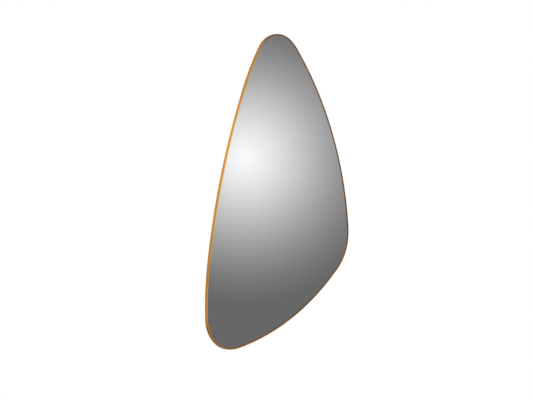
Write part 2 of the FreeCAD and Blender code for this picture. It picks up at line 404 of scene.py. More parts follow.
class Finish(ABC):
    """A surface finish that makes one material.

    Its fields hold its tones, its patterns, the spans over which the patterns come up, and the shares in
    which they mix.
    """

    name: str

    @abstractmethod
    def shade(self, graph: Graph) -> Wire:
        """Builds the shader.

        Args:
            graph: The material's graph.

        Returns:
            The shader.
        """

    def material(self) -> bpy.types.Material:
        """Makes the material at first use and hands out the same one after that.

        Returns:
            The material.
        """
        made = bpy.data.materials.get(self.name)
        if made is None:
            made = bpy.data.materials.new(self.name)
            made.use_nodes = True
            graph = Graph(made.node_tree)
            graph.node("ShaderNodeOutputMaterial", sockets={"Surface": self.shade(graph)})
        return made


@dataclass(frozen=True)
class GiltLeaf(Finish):
    """Gold leaf laid by hand over red bole and a black coat, with laps, rubbed edges, and creases darkened
    by painted shade.
    """

    name: str = "gilt_leaf"
    light: Colour = tone(249, 181, 80)
    deep: Colour = tone(227, 152, 58)
    # Painted shade: the darker tone laid along the leaf's creases.
    crease_shade_tone: Colour = tone(176, 106, 42)
    bole: Colour = tone(108, 50, 26)
    coat: Colour = tone(34, 31, 29)
    roughness: float = 0.085
    rough_shares: Shares = (0.08, 0.10, -0.03)
    coat_roughness: float = 0.42
    coat_rough_share: float = 0.2
    relief: float = 0.06 * MM
    relief_shares: Shares = (0.35, 0.3, -0.15, 0.5)
    leaf_length: float = 82.0 * MM
    leaf_sway: float = 0.06
    sway_grain: Grain = Grain(70.0, 2.0)
    cloud_grain: Grain = Grain(16.0)
    fine_grain: Grain = Grain(420.0, 4.0, 0.62)
    tint_shares: Shares = (0.45, 0.55)
    lap_span: Span = (0.004, 0.02)
    lap_share: float = 0.5
    crumple_scale: float = 300.0
    crumple_reach: float = 4.0 * MM
    crease_scale: float = 330.0
    crease_span: Span = (0.0, 0.05)
    crease_shade_share: float = 0.3
    creased_grain: Grain = Grain(55.0)
    creased_span: Span = (0.52, 0.72)
    rubbed_shares: Shares = (0.7, 0.3, 0.2)
    rubbed_span: Span = (0.80, 0.95)
    bole_share: float = 0.6
    bare_share: float = 0.7
    ragged_grain: Grain = Grain(190.0)
    ragged_reach: float = 0.9
    laid_span: Span = (0.40, 0.52)
    primed_span: Span = (-0.35, -0.2)

    def shade(self, graph: Graph) -> Wire:
        """Lays leaf after leaf along the band and wears it at the edges.

        Args:
            graph: The material's graph.

        Returns:
            The shader.
        """
        place = graph.place()
        run = graph.axes(graph.out("ShaderNodeUVMap", {"uv_map": RUN_MAP}))[0]
        rim = graph.attribute(RIM)
        cover = graph.attribute(COVER)
        cloud = graph.noise(place, self.cloud_grain)
        fine = graph.noise(place, self.fine_grain)
        leaf_run = run / self.leaf_length + graph.noise(place, self.sway_grain) * self.leaf_sway
        leaf = leaf_run.floor()
        share = leaf_run - leaf
        leaf_tint = graph.out("ShaderNodeTexWhiteNoise", {"noise_dimensions": "1D"}, {"W": leaf})
        lap = 1 - graph.step(share.lower(1 - share), self.lap_span)
        crumpled = graph.shaken(place, self.crumple_scale, self.crumple_reach)
        fold = graph.cells(crumpled, self.crease_scale, CellFeature.EDGE)
        creased = graph.step(graph.noise(place, self.creased_grain), self.creased_span)
        crease = (1 - graph.step(fold, self.crease_span)) * creased
        rubbed = graph.step(graph.mixed(self.rubbed_shares, fine, cloud, rim), self.rubbed_span)
        ragged = cover + (graph.noise(place, self.ragged_grain) - NOISE_MIDDLE) * self.ragged_reach
        laid = graph.step(ragged, self.laid_span)
        primed = graph.step(ragged, self.primed_span)
        gold = graph.blend(graph.mixed(self.tint_shares, leaf_tint, cloud), self.deep, self.light)
        gold = graph.blend(lap * self.lap_share, gold, self.light)
        # Painted shade darkens the leaf along its creases, on top of their relief.
        gold = graph.blend(crease * self.crease_shade_share, gold, self.crease_shade_tone)
        gold = graph.blend(rubbed * self.bole_share, gold, self.bole)
        under = graph.blend(primed, self.coat, self.bole)
        rough = self.roughness + graph.mixed(self.rough_shares, fine, crease, lap)
        under_rough = self.coat_roughness + fine * self.coat_rough_share
        height = graph.mixed(self.relief_shares, fine, lap, crease, laid)
        return graph.surface(
            {
                "Base Color": graph.blend(laid, under, gold),
                "Metallic": laid * (1 - rubbed * self.bare_share),
                "Roughness": laid * rough + (1 - laid) * under_rough,
                "Normal": graph.bump(height, self.relief),
            }
        )


@dataclass(frozen=True)
class SilveredGlass(Finish):
    """Float glass silvered behind, with a trace of wiping haze."""

    name: str = "silvered_glass"
    silver: Colour = (0.92, 0.92, 0.938)
    margin: Colour = (0.89, 0.915, 0.92)
    roughness: float = 0.004
    haze_roughness: float = 0.012
    wiped_grain: Grain = Grain(2.2, 4.0, stretch=(3.0, 1.0, 14.0), turn=(0.0, 0.5, 0.0))
    haze_span: Span = (0.5, 0.8)

    def shade(self, graph: Graph) -> Wire:
        """Keeps the face sharp, with a little more haze in wiped patches.

        Args:
            graph: The material's graph.

        Returns:
            The shader.
        """
        haze = graph.step(graph.noise(graph.place(), self.wiped_grain), self.haze_span)
        return graph.surface(
            {
                "Base Color": graph.blend(graph.attribute(RIM), self.silver, self.margin),
                "Metallic": 1.0,
                "Roughness": self.roughness + haze * self.haze_roughness,
            }
        )


@dataclass(frozen=True)
class GroundGlass(Finish):
    """The ground arris and edge of the pane, pale green where the glass shows its depth."""

    name: str = "ground_glass"
    pale: Colour = tone(126, 140, 138)
    green: Colour = tone(74, 100, 92)
    roughness: float = 0.10
    rough_shares: Shares = (0.12, 0.06)
    relief: float = 0.02 * MM
    relief_shares: Shares = (0.5, 0.5)
    refraction: float = 1.52
    wheel_grain: Grain = Grain(90.0, stretch=(1.0, 30.0, 1.0))
    grit_grain: Grain = Grain(1400.0, 2.0)

    def shade(self, graph: Graph) -> Wire:
        """Runs fine wheel marks along the edge.

        Args:
            graph: The material's graph.

        Returns:
            The shader.
        """
        place = graph.place()
        wheel = graph.noise(place, self.wheel_grain)
        grit = graph.noise(place, self.grit_grain)
        return graph.surface(
            {
                "Base Color": graph.blend(wheel, self.pale, self.green),
                "Roughness": self.roughness + graph.mixed(self.rough_shares, wheel, grit),
                "Normal": graph.bump(graph.mixed(self.relief_shares, grit, wheel), self.relief),
                "IOR": self.refraction,
            }
        )


@dataclass(frozen=True)
class BackingPaint(Finish):
    """The grey paint that shields the silver behind the pane."""

    name: str = "backing_paint"
    light: Colour = tone(118, 124, 126)
    dark: Colour = tone(96, 103, 106)
    roughness: float = 0.42
    rough_share: float = 0.2
    relief: float = 0.04 * MM
    streak_grain: Grain = Grain(3.0, 4.0, stretch=(40.0, 1.0, 1.5))

    def shade(self, graph: Graph) -> Wire:
        """Rolls the paint on in long soft streaks.

        Args:
            graph: The material's graph.

        Returns:
            The shader.
        """
        streak = graph.noise(graph.place(), self.streak_grain)
        return graph.surface(
            {
                "Base Color": graph.blend(streak, self.dark, self.light),
                "Roughness": self.roughness + streak * self.rough_share,
                "Normal": graph.bump(streak, self.relief),
            }
        )


@dataclass(frozen=True)
class Fibreboard(Finish):
    """Sanded fibreboard: pressed fibres, faint sanding lines, a darker sawn edge."""

    name: str = "sanded_fibreboard"
    light: Colour = tone(190, 156, 114)
    dark: Colour = tone(158, 122, 82)
    fibre: Colour = tone(112, 80, 50)
    pale_fibre: Colour = tone(214, 188, 150)
    sawn: Colour = tone(120, 86, 54)
    roughness: float = 0.70
    rough_shares: Shares = (0.16, 0.08)
    relief: float = 0.12 * MM
    relief_shares: Shares = (0.4, 0.25, 0.2, 0.15)
    cloud_grain: Grain = Grain(5.0, 4.0, 0.6)
    mottle_grain: Grain = Grain(60.0, 4.0, 0.65)
    ground_shares: Shares = (0.55, 0.45)
    loose_scale: float = 240.0
    loose_reach: float = 5.0 * MM
    dark_grain: Grain = Grain(260.0, 4.0, 0.65, stretch=(5.0, 1.0, 1.0), turn=(0.0, 0.6, 0.0))
    dark_share: float = 0.5
    pale_grain: Grain = Grain(280.0, 4.0, 0.65, stretch=(1.0, 1.0, 5.0), turn=(0.0, -0.3, 0.0))
    pale_share: float = 0.45
    fibre_span: Span = (0.54, 0.72)
    sanding_grain: Grain = Grain(14.0, 2.0, stretch=(1.0, 1.0, 90.0))
    grit_grain: Grain = Grain(900.0, 3.0, 0.6)
    grit_share: float = 0.25
    sawn_share: float = 0.85
    sawn_mottle: float = 0.4

    def shade(self, graph: Graph) -> Wire:
        """Scatters dark and pale fibres over a clouded ground.

        Args:
            graph: The material's graph.

        Returns:
            The shader.
        """
        place = graph.place()
        cloud = graph.noise(place, self.cloud_grain)
        mottle = graph.noise(place, self.mottle_grain)
        loose = graph.shaken(place, self.loose_scale, self.loose_reach)
        dark_fibre = graph.step(graph.noise(loose, self.dark_grain), self.fibre_span)
        pale_fibre = graph.step(graph.noise(loose, self.pale_grain), self.fibre_span)
        sanding = graph.noise(place, self.sanding_grain)
        grit = graph.noise(place, self.grit_grain)
        sawn = graph.attribute(RIM) * (1 - self.sawn_mottle * (1 - mottle))
        ground = graph.blend(graph.mixed(self.ground_shares, cloud, mottle), self.dark, self.light)
        ground = graph.blend(dark_fibre * self.dark_share, ground, self.fibre)
        ground = graph.blend(pale_fibre * self.pale_share, ground, self.pale_fibre)
        ground = graph.blend(grit * self.grit_share, ground, self.fibre)
        height = graph.mixed(self.relief_shares, grit, dark_fibre, pale_fibre, sanding)
        return graph.surface(
            {
                "Base Color": graph.blend(sawn * self.sawn_share, ground, self.sawn),
                "Roughness": self.roughness + graph.mixed(self.rough_shares, mottle, sawn),
                "Normal": graph.bump(height, self.relief),
            }
        )


@dataclass(frozen=True)
class BlackCoat(Finish):
    """Satin black coat on the steel behind the frame, paler in thin patches and where dust settles."""

    name: str = "black_coat"
    coat: Colour = tone(36, 35, 34)
    thin: Colour = tone(66, 62, 58)
    roughness: float = 0.34
    rough_shares: Shares = (0.16, 0.15)
    relief: float = 0.06 * MM
    peel_grain: Grain = Grain(900.0, 2.0)
    patch_grain: Grain = Grain(110.0, 4.0, 0.6)
    dust_grain: Grain = Grain(2600.0, 2.0)
    dust_shares: Shares = (0.6, 0.4)
    dust_span: Span = (0.56, 0.7)
    thin_shares: Shares = (0.5, 0.2)

    def shade(self, graph: Graph) -> Wire:
        """Gives the coat a fine orange peel and a little dust.

        Args:
            graph: The material's graph.

        Returns:
            The shader.
        """
        place = graph.place()
        peel = graph.noise(place, self.peel_grain)
        patch = graph.noise(place, self.patch_grain)
        settled = graph.mixed(self.dust_shares, graph.noise(place, self.dust_grain), patch)
        dust = graph.step(settled, self.dust_span)
        return graph.surface(
            {
                "Base Color": graph.blend(graph.mixed(self.thin_shares, dust, patch), self.coat, self.thin),
                "Roughness": self.roughness + graph.mixed(self.rough_shares, patch, dust),
                "Normal": graph.bump(peel, self.relief),
            }
        )


@dataclass(frozen=True)
class ZincPlate(Finish):
    """Bright zinc plating with rolled grain and a faint blue and straw cast."""

    name: str = "zinc_plate"
    bright: Colour = tone(216, 219, 222)
    blue: Colour = tone(188, 199, 212)
    straw: Colour = tone(214, 205, 180)
    dull: Colour = tone(150, 152, 152)
    roughness: float = 0.24
    rough_shares: Shares = (0.16, 0.12)
    relief: float = 0.03 * MM
    relief_shares: Shares = (0.6, 0.4)
    rolled_grain: Grain = Grain(40.0, stretch=(60.0, 60.0, 2.0))
    cast_grain: Grain = Grain(130.0, 2.0)
    bright_span: Span = (0.35, 0.6)
    straw_span: Span = (0.55, 0.75)
    straw_share: float = 0.7
    wear_grain: Grain = Grain(520.0, 4.0, 0.65)
    wear_span: Span = (0.55, 0.75)
    wear_share: float = 0.4

    def shade(self, graph: Graph) -> Wire:
        """Runs the rolled grain upright and clouds the plating.

        Args:
            graph: The material's graph.

        Returns:
            The shader.
        """
        place = graph.place()
        rolled = graph.noise(place, self.rolled_grain)
        cast = graph.noise(place, self.cast_grain)
        wear = graph.step(graph.noise(place, self.wear_grain), self.wear_span)
        metal = graph.blend(graph.step(cast, self.bright_span), self.blue, self.bright)
        metal = graph.blend(graph.step(cast, self.straw_span) * self.straw_share, metal, self.straw)
        metal = graph.blend(wear * self.wear_share, metal, self.dull)
        return graph.surface(
            {
                "Base Color": metal,
                "Metallic": 1.0,
                "Roughness": self.roughness + graph.mixed(self.rough_shares, rolled, wear),
                "Normal": graph.bump(graph.mixed(self.relief_shares, rolled, wear), self.relief),
            }
        )


@dataclass(frozen=True)
class DrawnWire(Finish):
    """Nickelled steel wire with drawing lines."""

    name: str = "drawn_wire"
    bright: Colour = tone(224, 220, 212)
    warm: Colour = tone(196, 188, 174)
    roughness: float = 0.12
    rough_shares: Shares = (0.08, 0.16)
    relief: float = 0.01 * MM
    line_grain: Grain = Grain(700.0, stretch=(1.0, 20.0, 1.0))
    scuff_grain: Grain = Grain(900.0, 4.0, 0.65)
    scuff_span: Span = (0.56, 0.74)
    warm_shares: Shares = (0.6, 0.4)

    def shade(self, graph: Graph) -> Wire:
        """Puts fine lines and small scuffs on the bright wire.

        Args:
            graph: The material's graph.

        Returns:
            The shader.
        """
        place = graph.place()
        lines = graph.noise(place, self.line_grain)
        scuff = graph.step(graph.noise(place, self.scuff_grain), self.scuff_span)
        dulled = graph.mixed(self.warm_shares, lines, scuff)
        return graph.surface(
            {
                "Base Color": graph.blend(dulled, self.bright, self.warm),
                "Metallic": 1.0,
                "Roughness": self.roughness + graph.mixed(self.rough_shares, lines, scuff),
                "Normal": graph.bump(lines, self.relief),
            }
        )


@dataclass(frozen=True)
class MouldedRubber(Finish):
    """Soft black rubber with a moulded skin and a little bloom."""

    name: str = "moulded_rubber"
    black: Colour = tone(48, 47, 46)
    bloom: Colour = tone(84, 82, 80)
    roughness: float = 0.58
    rough_share: float = 0.2
    relief: float = 0.05 * MM
    skin_scale: float = 1800.0
    bloom_grain: Grain = Grain(150.0, 4.0, 0.6)
    bloom_span: Span = (0.45, 0.75)
    bloom_share: float = 0.5

    def shade(self, graph: Graph) -> Wire:
        """Gives the rubber a grained skin.

        Args:
            graph: The material's graph.

        Returns:
            The shader.
        """
        place = graph.place()
        skin = graph.cells(place, self.skin_scale)
        bloom = graph.step(graph.noise(place, self.bloom_grain), self.bloom_span)
        return graph.surface(
            {
                "Base Color": graph.blend(bloom * self.bloom_share, self.black, self.bloom),
                "Roughness": self.roughness + bloom * self.rough_share,
                "Normal": graph.bump(skin, self.relief),
            }
        )


@dataclass(frozen=True)
class FoamTape(Finish):
    """White closed-cell foam tape."""

    name: str = "foam_strip"
    white: Colour = tone(232, 230, 224)
    # Darker tone, reached partly by a random tint and partly as painted shade in the pores' hollows.
    cell: Colour = tone(186, 183, 176)
    roughness: float = 0.75
    rough_share: float = 0.15
    relief: float = 0.1 * MM
    cell_scale: float = 2200.0
    pore_span: Span = (0.15, 0.45)
    tint_grain: Grain = Grain(90.0)
    pore_shade_and_tint_shares: Shares = (0.7, 0.2)

    def shade(self, graph: Graph) -> Wire:
        """Opens small cells in the foam, with painted shade darkening their hollows.

        Args:
            graph: The material's graph.

        Returns:
            The shader.
        """
        place = graph.place()
        cells = graph.cells(place, self.cell_scale)
        tint = graph.noise(place, self.tint_grain)
        pore = 1 - graph.step(cells, self.pore_span)
        return graph.surface(
            {
                "Base Color": graph.blend(graph.mixed(self.pore_shade_and_tint_shares, pore, tint), self.white, self.cell),
                "Roughness": self.roughness + pore * self.rough_share,
                "Normal": graph.bump(cells, self.relief),
            }
        )


@dataclass(frozen=True)
class PaleFloor(Finish):
    """The pale studio floor, white to the eye, with the object's soft shadow left on it."""

    name: str = "pale_floor"
    white: Colour = (0.9, 0.9, 0.9)
    speck_tone: Colour = (0.86, 0.86, 0.86)
    speck_grain: Grain = Grain(30.0)
    speck_share: float = 0.1
    glow: float = 0.6
    fade_span: Span = (0.6, 1.2)

    def shade(self, graph: Graph) -> Wire:
        """Mixes a lit floor with an even white one.

        Args:
            graph: The material's graph.

        Returns:
            The shader.
        """
        place = graph.place()
        across, back, _ = graph.axes(place)
        fade = graph.step((across * across + back * back) ** 0.5, self.fade_span)
        speck = graph.noise(place, self.speck_grain) * self.speck_share
        ground = graph.blend(speck, self.white, self.speck_tone)
        lit = graph.out("ShaderNodeBsdfDiffuse", sockets={"Color": ground})
        even = graph.out("ShaderNodeEmission", sockets={"Color": WHITE, "Strength": 1.0})
        seen = seen_share(graph) * (self.glow + fade * (1 - self.glow))
        return graph.out("ShaderNodeMixShader", sockets={0: seen, 1: lit, 2: even})


@dataclass(frozen=True)
class Glow:
    """A light on the studio wall: where it begins and is whole, and its strength there."""

    span: Span
    light: float

    def on(self, graph: Graph, value: Wire) -> Wire:
        """Lights the wall along a value."""
        return graph.step(value, self.span) * self.light


@dataclass(frozen=True)
class StudioWall(Finish):
    """The grey studio wall that the glass mirrors, with round pools of light on it.

    Bearings are in degrees, heights and distances in metres, lights in shares of white.
    """

    name: str = "studio_wall"
    radius: float = 7.0
    pools: int = 8
    pool_bearing: float = -46.97
    pool_height: float = 0.058
    pool_reach: float = 1.2377
    pool_edge: float = 0.4027
    pool_middle: float = 0.9803
    pool_gain: float = 1.093
    straight_fall: float = 0.55
    corner_bearing: Span = (-40.5, -33.5)
    corner_dim: float = 0.32
    screen_left: Span = (-76.5, -60.5)
    screen_right: Span = (-51.0, -55.0)
    screen_foot: float = 0.32
    screen_face: Glow = Glow((-2.3, -1.2), 0.38)
    screen_middle: Glow = Glow((-1.1, 0.1), 0.34)
    screen_top: Span = (1.9, 0.6)
    open_bearing: Span = (-58.0, -62.0)
    ground_away: Span = (1.1, 2.8)
    ground_light: float = 0.4
    ground_low: Glow = Glow((1.0, -6.5), 0.38)
    ground_high: Glow = Glow((0.8, 2.6), 0.25)
    margin_over: Glow = Glow((1.3, 1.9), 0.46)
    margin_over_bearing: Span = (-49.5, -42.0)
    margin_under: Glow = Glow((-1.6, -2.8), 0.58)
    margin_beside: Glow = Glow((0.1, -1.2), 0.38)
    high_light: Glow = Glow((2.6, 6.0), 0.5)
    foot_light: Glow = Glow((-2.6, -4.0), 0.45)
    rear_back: Span = (-0.4, 1.6)
    rear_light: float = 0.52
    rear_lift: Glow = Glow((0.2, 3.2), 0.29)
    rear_fall: Glow = Glow((3.4, 5.9), 0.36)
    rear_foot: Glow = Glow((-1.2, -5.0), 0.25)

    def shade(self, graph: Graph) -> Wire:
        """Lights the front of the wall by pools, ground, margins and a screen, and its rear evenly.

        Args:
            graph: The material's graph.

        Returns:
            The shader.
        """
        across, back, up = graph.axes(graph.place())
        bearing = back.bearing(across)
        degrees = bearing * math.degrees(1.0)
        corner = graph.step(degrees, self.corner_bearing)
        open_side = graph.step(degrees, self.open_bearing)
        screen = graph.step(degrees, self.screen_left) * graph.step(degrees, self.screen_right)
        away = self._away(bearing, up)
        pool = self._pool(away) * (1 - self.corner_dim * corner)
        ground = self._ground(graph, up) * graph.step(away, self.ground_away) * open_side
        margin = self._margin(graph, degrees, up, corner) * (1 - open_side)
        front = pool.higher(ground).higher(self.high_light.on(graph, up)).higher(margin)
        front = front * (1 - screen) + self._panel(graph, up) * screen
        front = front.higher(self.foot_light.on(graph, up))
        rear = graph.step(back, self.rear_back)
        strength = front * (1 - rear) + self._rear(graph, up) * rear
        return graph.out("ShaderNodeEmission", sockets={"Color": WHITE, "Strength": strength})

    def _away(self, bearing: Wire, up: Wire) -> Wire:
        """Measures how far a place on the wall lies from the middle of its pool.

        Args:
            bearing: The place's bearing, in radians.
            up: Its height.

        Returns:
            The distance along the wall.
        """
        turn = bearing - math.radians(self.pool_bearing)
        along = turn.wrapped(math.pi / self.pools) * self.radius
        lift = up - self.pool_height
        return (along * along + lift * lift) ** 0.5

    def _pool(self, away: Wire) -> Wire:
        """Lights a round pool, which falls off partly straight and partly with soft ends.

        Args:
            away: The distance from its middle.

        Returns:
            Its light.
        """
        share = (away / self.pool_reach).lower(1.0)
        soft = share * share * (3 - 2 * share)
        fall = self.straight_fall * share + (1 - self.straight_fall) * soft
        return linear(self.pool_edge + (self.pool_middle - self.pool_edge) * (1 - fall)) * self.pool_gain

    def _ground(self, graph: Graph, up: Wire) -> Wire:
        """Lights the ground between the pools, more so low down and high up."""
        return self.ground_light + self.ground_low.on(graph, up) + self.ground_high.on(graph, up)

    def _margin(self, graph: Graph, degrees: Wire, up: Wire, corner: Wire) -> Wire:
        """Lights the wall over, under and beside the main pool, where the gilded lip mirrors it.

        Args:
            graph: The material's graph.
            degrees: The bearing in degrees.
            up: The height.
            corner: The share of the corner beside the pool.

        Returns:
            The light.
        """
        over = self.margin_over.on(graph, up) * graph.step(degrees, self.margin_over_bearing)
        under = self.margin_under.on(graph, up)
        beside = self.margin_beside.on(graph, up) * corner
        return over.higher(under).higher(beside)

    def _panel(self, graph: Graph, up: Wire) -> Wire:
        """Lights the screen beside the main pool, from its foot to its brighter middle."""
        middle = self.screen_middle.on(graph, up) * graph.step(up, self.screen_top)
        return self.screen_foot + self.screen_face.on(graph, up) + middle

    def _rear(self, graph: Graph, up: Wire) -> Wire:
        """Lights the wall behind the mirror, brightest a little above its middle."""
        lifted = self.rear_lift.on(graph, up) - self.rear_fall.on(graph, up)
        return self.rear_light + lifted - self.rear_foot.on(graph, up)


def seen_share(graph: Graph) -> Wire:
    """Tells the rays that show a background from the ones that carry light.

    Args:
        graph: The graph to add to.

    Returns:
        One for camera, glossy and transmitted rays, otherwise zero.
    """
    path = graph.node("ShaderNodeLightPath")
    camera = Wire(graph, path.outputs["Is Camera Ray"])
    glossy = Wire(graph, path.outputs["Is Glossy Ray"])
    through = Wire(graph, path.outputs["Is Transmission Ray"])
    return camera.higher(glossy).higher(through)


@dataclass(frozen=True)
class Corner:
    """A rounded corner of the outline, in millimetres."""

    x: float
    z: float
    radius: float


@dataclass(frozen=True)
class Side:
    """A bowed side of the outline, with a tighter bow near its ends, in millimetres and degrees."""

    radius: float
    end_radius: float
    end_angle: float


@dataclass(frozen=True)
class Arc:
    """One arc of the outline, in metres and radians."""

    hub: Vector
    radius: float
    start: float
    end: float


@dataclass(frozen=True)
class Station:
    """A place on the outline, from which every inset outline is reached."""

    hub: Vector
    outward: Vector
    radius: float
    along: float

    def point(self, inset: float, depth: float) -> Vector:
        """Gives the point at an inset from the outer edge, at a depth along y."""
        return self.hub + self.outward * (self.radius - inset) + Vector((0.0, depth, 0.0))

    def tangent(self) -> Vector:
        """Gives the direction along the outline."""
        return Vector((-self.outward.z, 0.0, self.outward.x))


def heading(angle: float) -> Vector:
    """Gives the direction at an angle in the plane of the mirror."""
    return Vector((math.cos(angle), 0.0, math.sin(angle)))


def angle_of(vector: Vector) -> float:
    """Gives the angle of a direction in the plane of the mirror."""
    return math.atan2(vector.z, vector.x)


@dataclass(frozen=True)
class Outline:
    """The rounded triangle that the band, the pane and the board all follow."""

    corners: tuple[Corner, ...] = (
        Corner(x=3.0, z=176.5, radius=111.0),
        Corner(x=-230.5, z=-698.0, radius=114.5),
        Corner(x=209.5, z=-425.5, radius=160.0),
    )
    sides: tuple[Side, ...] = (
        Side(radius=2430.0, end_radius=1014.0, end_angle=17.2),
        Side(radius=1021.0, end_radius=187.0, end_angle=35.2),
        Side(radius=1117.0, end_radius=215.0, end_angle=29.7),
    )
    least_cuts: int = 2
    search_spacing: float = 1.0 * MM

    def _side_arcs(self, first: Corner, second: Corner, side: Side) -> list[Arc]:
        """Joins two corners by three arcs that run smoothly into each other.

        Args:
            first: The corner where the side starts.
            second: The corner where it ends.
            side: Its radii.

        Returns:
            The three arcs.
        """
        start = Vector((first.x, 0.0, first.z)) * MM
        end = Vector((second.x, 0.0, second.z)) * MM
        facing = angle_of(Vector((end.z - start.z, 0.0, start.x - end.x)))
        leave = facing - math.radians(side.end_angle)
        arrive = facing + math.radians(side.end_angle)
        near = start - heading(leave) * (side.end_radius - first.radius) * MM
        far = end - heading(arrive) * (side.end_radius - second.radius) * MM
        span = far - near
        inward = Vector((-span.z, 0.0, span.x)).normalized()
        rise = math.sqrt(((side.radius - side.end_radius) * MM) ** 2 - (span.length / 2) ** 2)
        hub = (near + far) * 0.5 + inward * rise
        turn_in = angle_of(near - hub)
        turn_out = angle_of(far - hub)
        return [
            Arc(near, side.end_radius * MM, leave, turn_in),
            Arc(hub, side.radius * MM, turn_in, turn_out),
            Arc(far, side.end_radius * MM, turn_out, arrive),
        ]

    def arcs(self) -> list[Arc]:
        """Chains corners and sides into the closed outline.

        Returns:
            The arcs in order, counter-clockwise seen from the front.
        """
        count = len(self.corners)
        runs = [
            self._side_arcs(self.corners[i], self.corners[(i + 1) % count], self.sides[i])
            for i in range(count)
        ]
        chain = []
        for i, corner in enumerate(self.corners):
            hub = Vector((corner.x, 0.0, corner.z)) * MM
            chain.append(Arc(hub, corner.radius * MM, runs[i - 1][-1].end, runs[i][0].start))
            chain.extend(runs[i])
        return chain

    def stations(self, spacing: float) -> list[Station]:
        """Sets out places along the outline.

        Args:
            spacing: The largest distance between two places, in metres.

        Returns:
            The places, once round.
        """
        places = []
        along = 0.0
        for arc in self.arcs():
            sweep = (arc.end - arc.start) % math.tau
            length = sweep * arc.radius
            count = max(self.least_cuts, math.ceil(length / spacing))
            for step in range(count):
                share = step / count
                outward = heading(arc.start + sweep * share)
                places.append(Station(arc.hub, outward, arc.radius, along + length * share))
            along += length
        return places

    def nearest(self, spot: Vector) -> Station:
        """Finds the place on the outline nearest to a spot."""
        places = self.stations(self.search_spacing)
        return min(places, key=lambda place: (place.point(0.0, spot.y) - spot).length)


@dataclass(frozen=True)
class SectionPoint:
    """A point of a section that is swept round the outline, with what the finishes know of it."""

    inset: float
    depth: float
    rim: float = 0.0
    cover: float = Cover.LEAF
    skin: int = 0


class Sweep:
    """Sweeps a section round the outline into a closed mesh."""

    def __init__(self, outline: Outline, spacing: float) -> None:
        """Sets out the places along the outline.

        Args:
            outline: The outline.
            spacing: The largest distance between two places, in metres.
        """
        self.stations = outline.stations(spacing)
        last = self.stations[-1]
        first = self.stations[0]
        self.length = last.along + (first.point(0.0, 0.0) - last.point(0.0, 0.0)).length

    def _strips(self, width: int, closed: bool) -> list[tuple[int, int, int, int]]:
        """Lists the quads between neighbouring sections.

        Args:
            width: Points in a section.
            closed: Whether the section's last point joins its first.

        Returns:
            Four point numbers for each quad, section by section.
        """
        count = len(self.stations)
        quads = []
        for row in range(count):
            after = (row + 1) % count
            for column in range(width if closed else width - 1):
                beside = (column + 1) % width
                quads.append(
                    (
                        row * width + column,
                        row * width + beside,
                        after * width + beside,
                        after * width + column,
                    )
                )
        return quads

    def build(
        self,
        name: str,
        section: Sequence[SectionPoint],
        finishes: Sequence[Finish],
        closed: bool,
        sharp_deg: float,
    ) -> bpy.types.Object:
        """Makes the swept piece.

        Args:
            name: The piece's name.
            section: The section, from the front face round to the rear.
            finishes: The finishes, in the order of the section's skins.
            closed: True for a ring, False for a plate whose two ends are capped.
            sharp_deg: The angle above which an edge is drawn sharp.

        Returns:
            The piece.
        """
        width = len(section)
        points = [station.point(p.inset, p.depth) for station in self.stations for p in section]
        faces: list[tuple[int, ...]] = list(self._strips(width, closed))
        skins = [section[face[0] % width].skin for face in faces]
        marks = [(p.rim, p.cover) for _ in self.stations for p in section]
        if not closed:
            count = len(self.stations)
            for column, order in ((0, 1), (width - 1, -1)):
                ring = [row * width + column for row in range(count)]
                middle = sum((points[i] for i in ring), Vector()) / count
                points.append(middle)
                marks.append((0.0, Cover.LEAF))
                for row in range(count):
                    pair = (ring[row], ring[(row + 1) % count])[::order]
                    faces.append((*pair, len(points) - 1))
                    skins.append(section[column].skin)
        mesh = bpy.data.meshes.new(name)
        mesh.from_pydata(points, [], faces)
        for place, layer in enumerate((RIM, COVER)):
            values = mesh.attributes.new(layer, "FLOAT", "POINT")
            values.data.foreach_set("value", [mark[place] for mark in marks])
        mesh.polygons.foreach_set("material_index", skins)
        if closed:
            self._write_run(mesh, section)
        return finished_piece(name, mesh, finishes, sharp_deg)

    def _write_run(self, mesh: bpy.types.Mesh, section: Sequence[SectionPoint]) -> None:
        """Writes the run along the band and the way round its section as a UV map.

        Args:
            mesh: The swept mesh.
            section: Its section.
        """
        width = len(section)
        girth = [0.0]
        for here, there in zip(section, [*section[1:], section[0]]):
            girth.append(girth[-1] + math.hypot(there.inset - here.inset, there.depth - here.depth))
        layer = mesh.uv_layers.new(name=RUN_MAP)
        count = len(self.stations)
        for face in mesh.polygons:
            row, column = divmod(face.index, width)
            near = self.stations[row].along
            far = self.stations[row + 1].along if row + 1 < count else self.length
            corners = ((near, column), (near, column + 1), (far, column + 1), (far, column))
            for loop, (along, side) in zip(face.loop_indices, corners):
                layer.data[loop].uv = (along, girth[side])


def finished_piece(
    name: str, mesh: bpy.types.Mesh, finishes: Iterable[Finish], sharp_deg: float
) -> bpy.types.Object:
    """Turns a mesh into a piece with outward faces, smooth shading and its finishes.

    Args:
        name: The piece's name.
        mesh: Its mesh, in place.
        finishes: The finishes of its material slots.
        sharp_deg: The angle above which an edge is drawn sharp.

    Returns:
        The piece.
    """
    shell = bmesh.new()
    shell.from_mesh(mesh)
    bmesh.ops.recalc_face_normals(shell, faces=shell.faces)
    shell.to_mesh(mesh)
    shell.free()
    mesh.shade_smooth()
    mesh.set_sharp_from_angle(angle=math.radians(sharp_deg))
    for finish in finishes:
        mesh.materials.append(finish.material())
    piece = bpy.data.objects.new(name, mesh)
    bpy.context.scene.collection.objects.link(piece)
    return piece


def settle(piece: bpy.types.Object, nodes: Sequence[str]) -> None:
    """Hangs a piece on the mirror's body and the CAD nodes it stands for.

    Args:
        piece: The piece.
        nodes: The nodes it replaces.
    """
    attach(piece, MIRROR_BODY)
    if nodes:
        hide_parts(*nodes)
    LOG.info("%s: %d faces, for %s", piece.name, len(piece.data.polygons), ", ".join(nodes) or "itself")


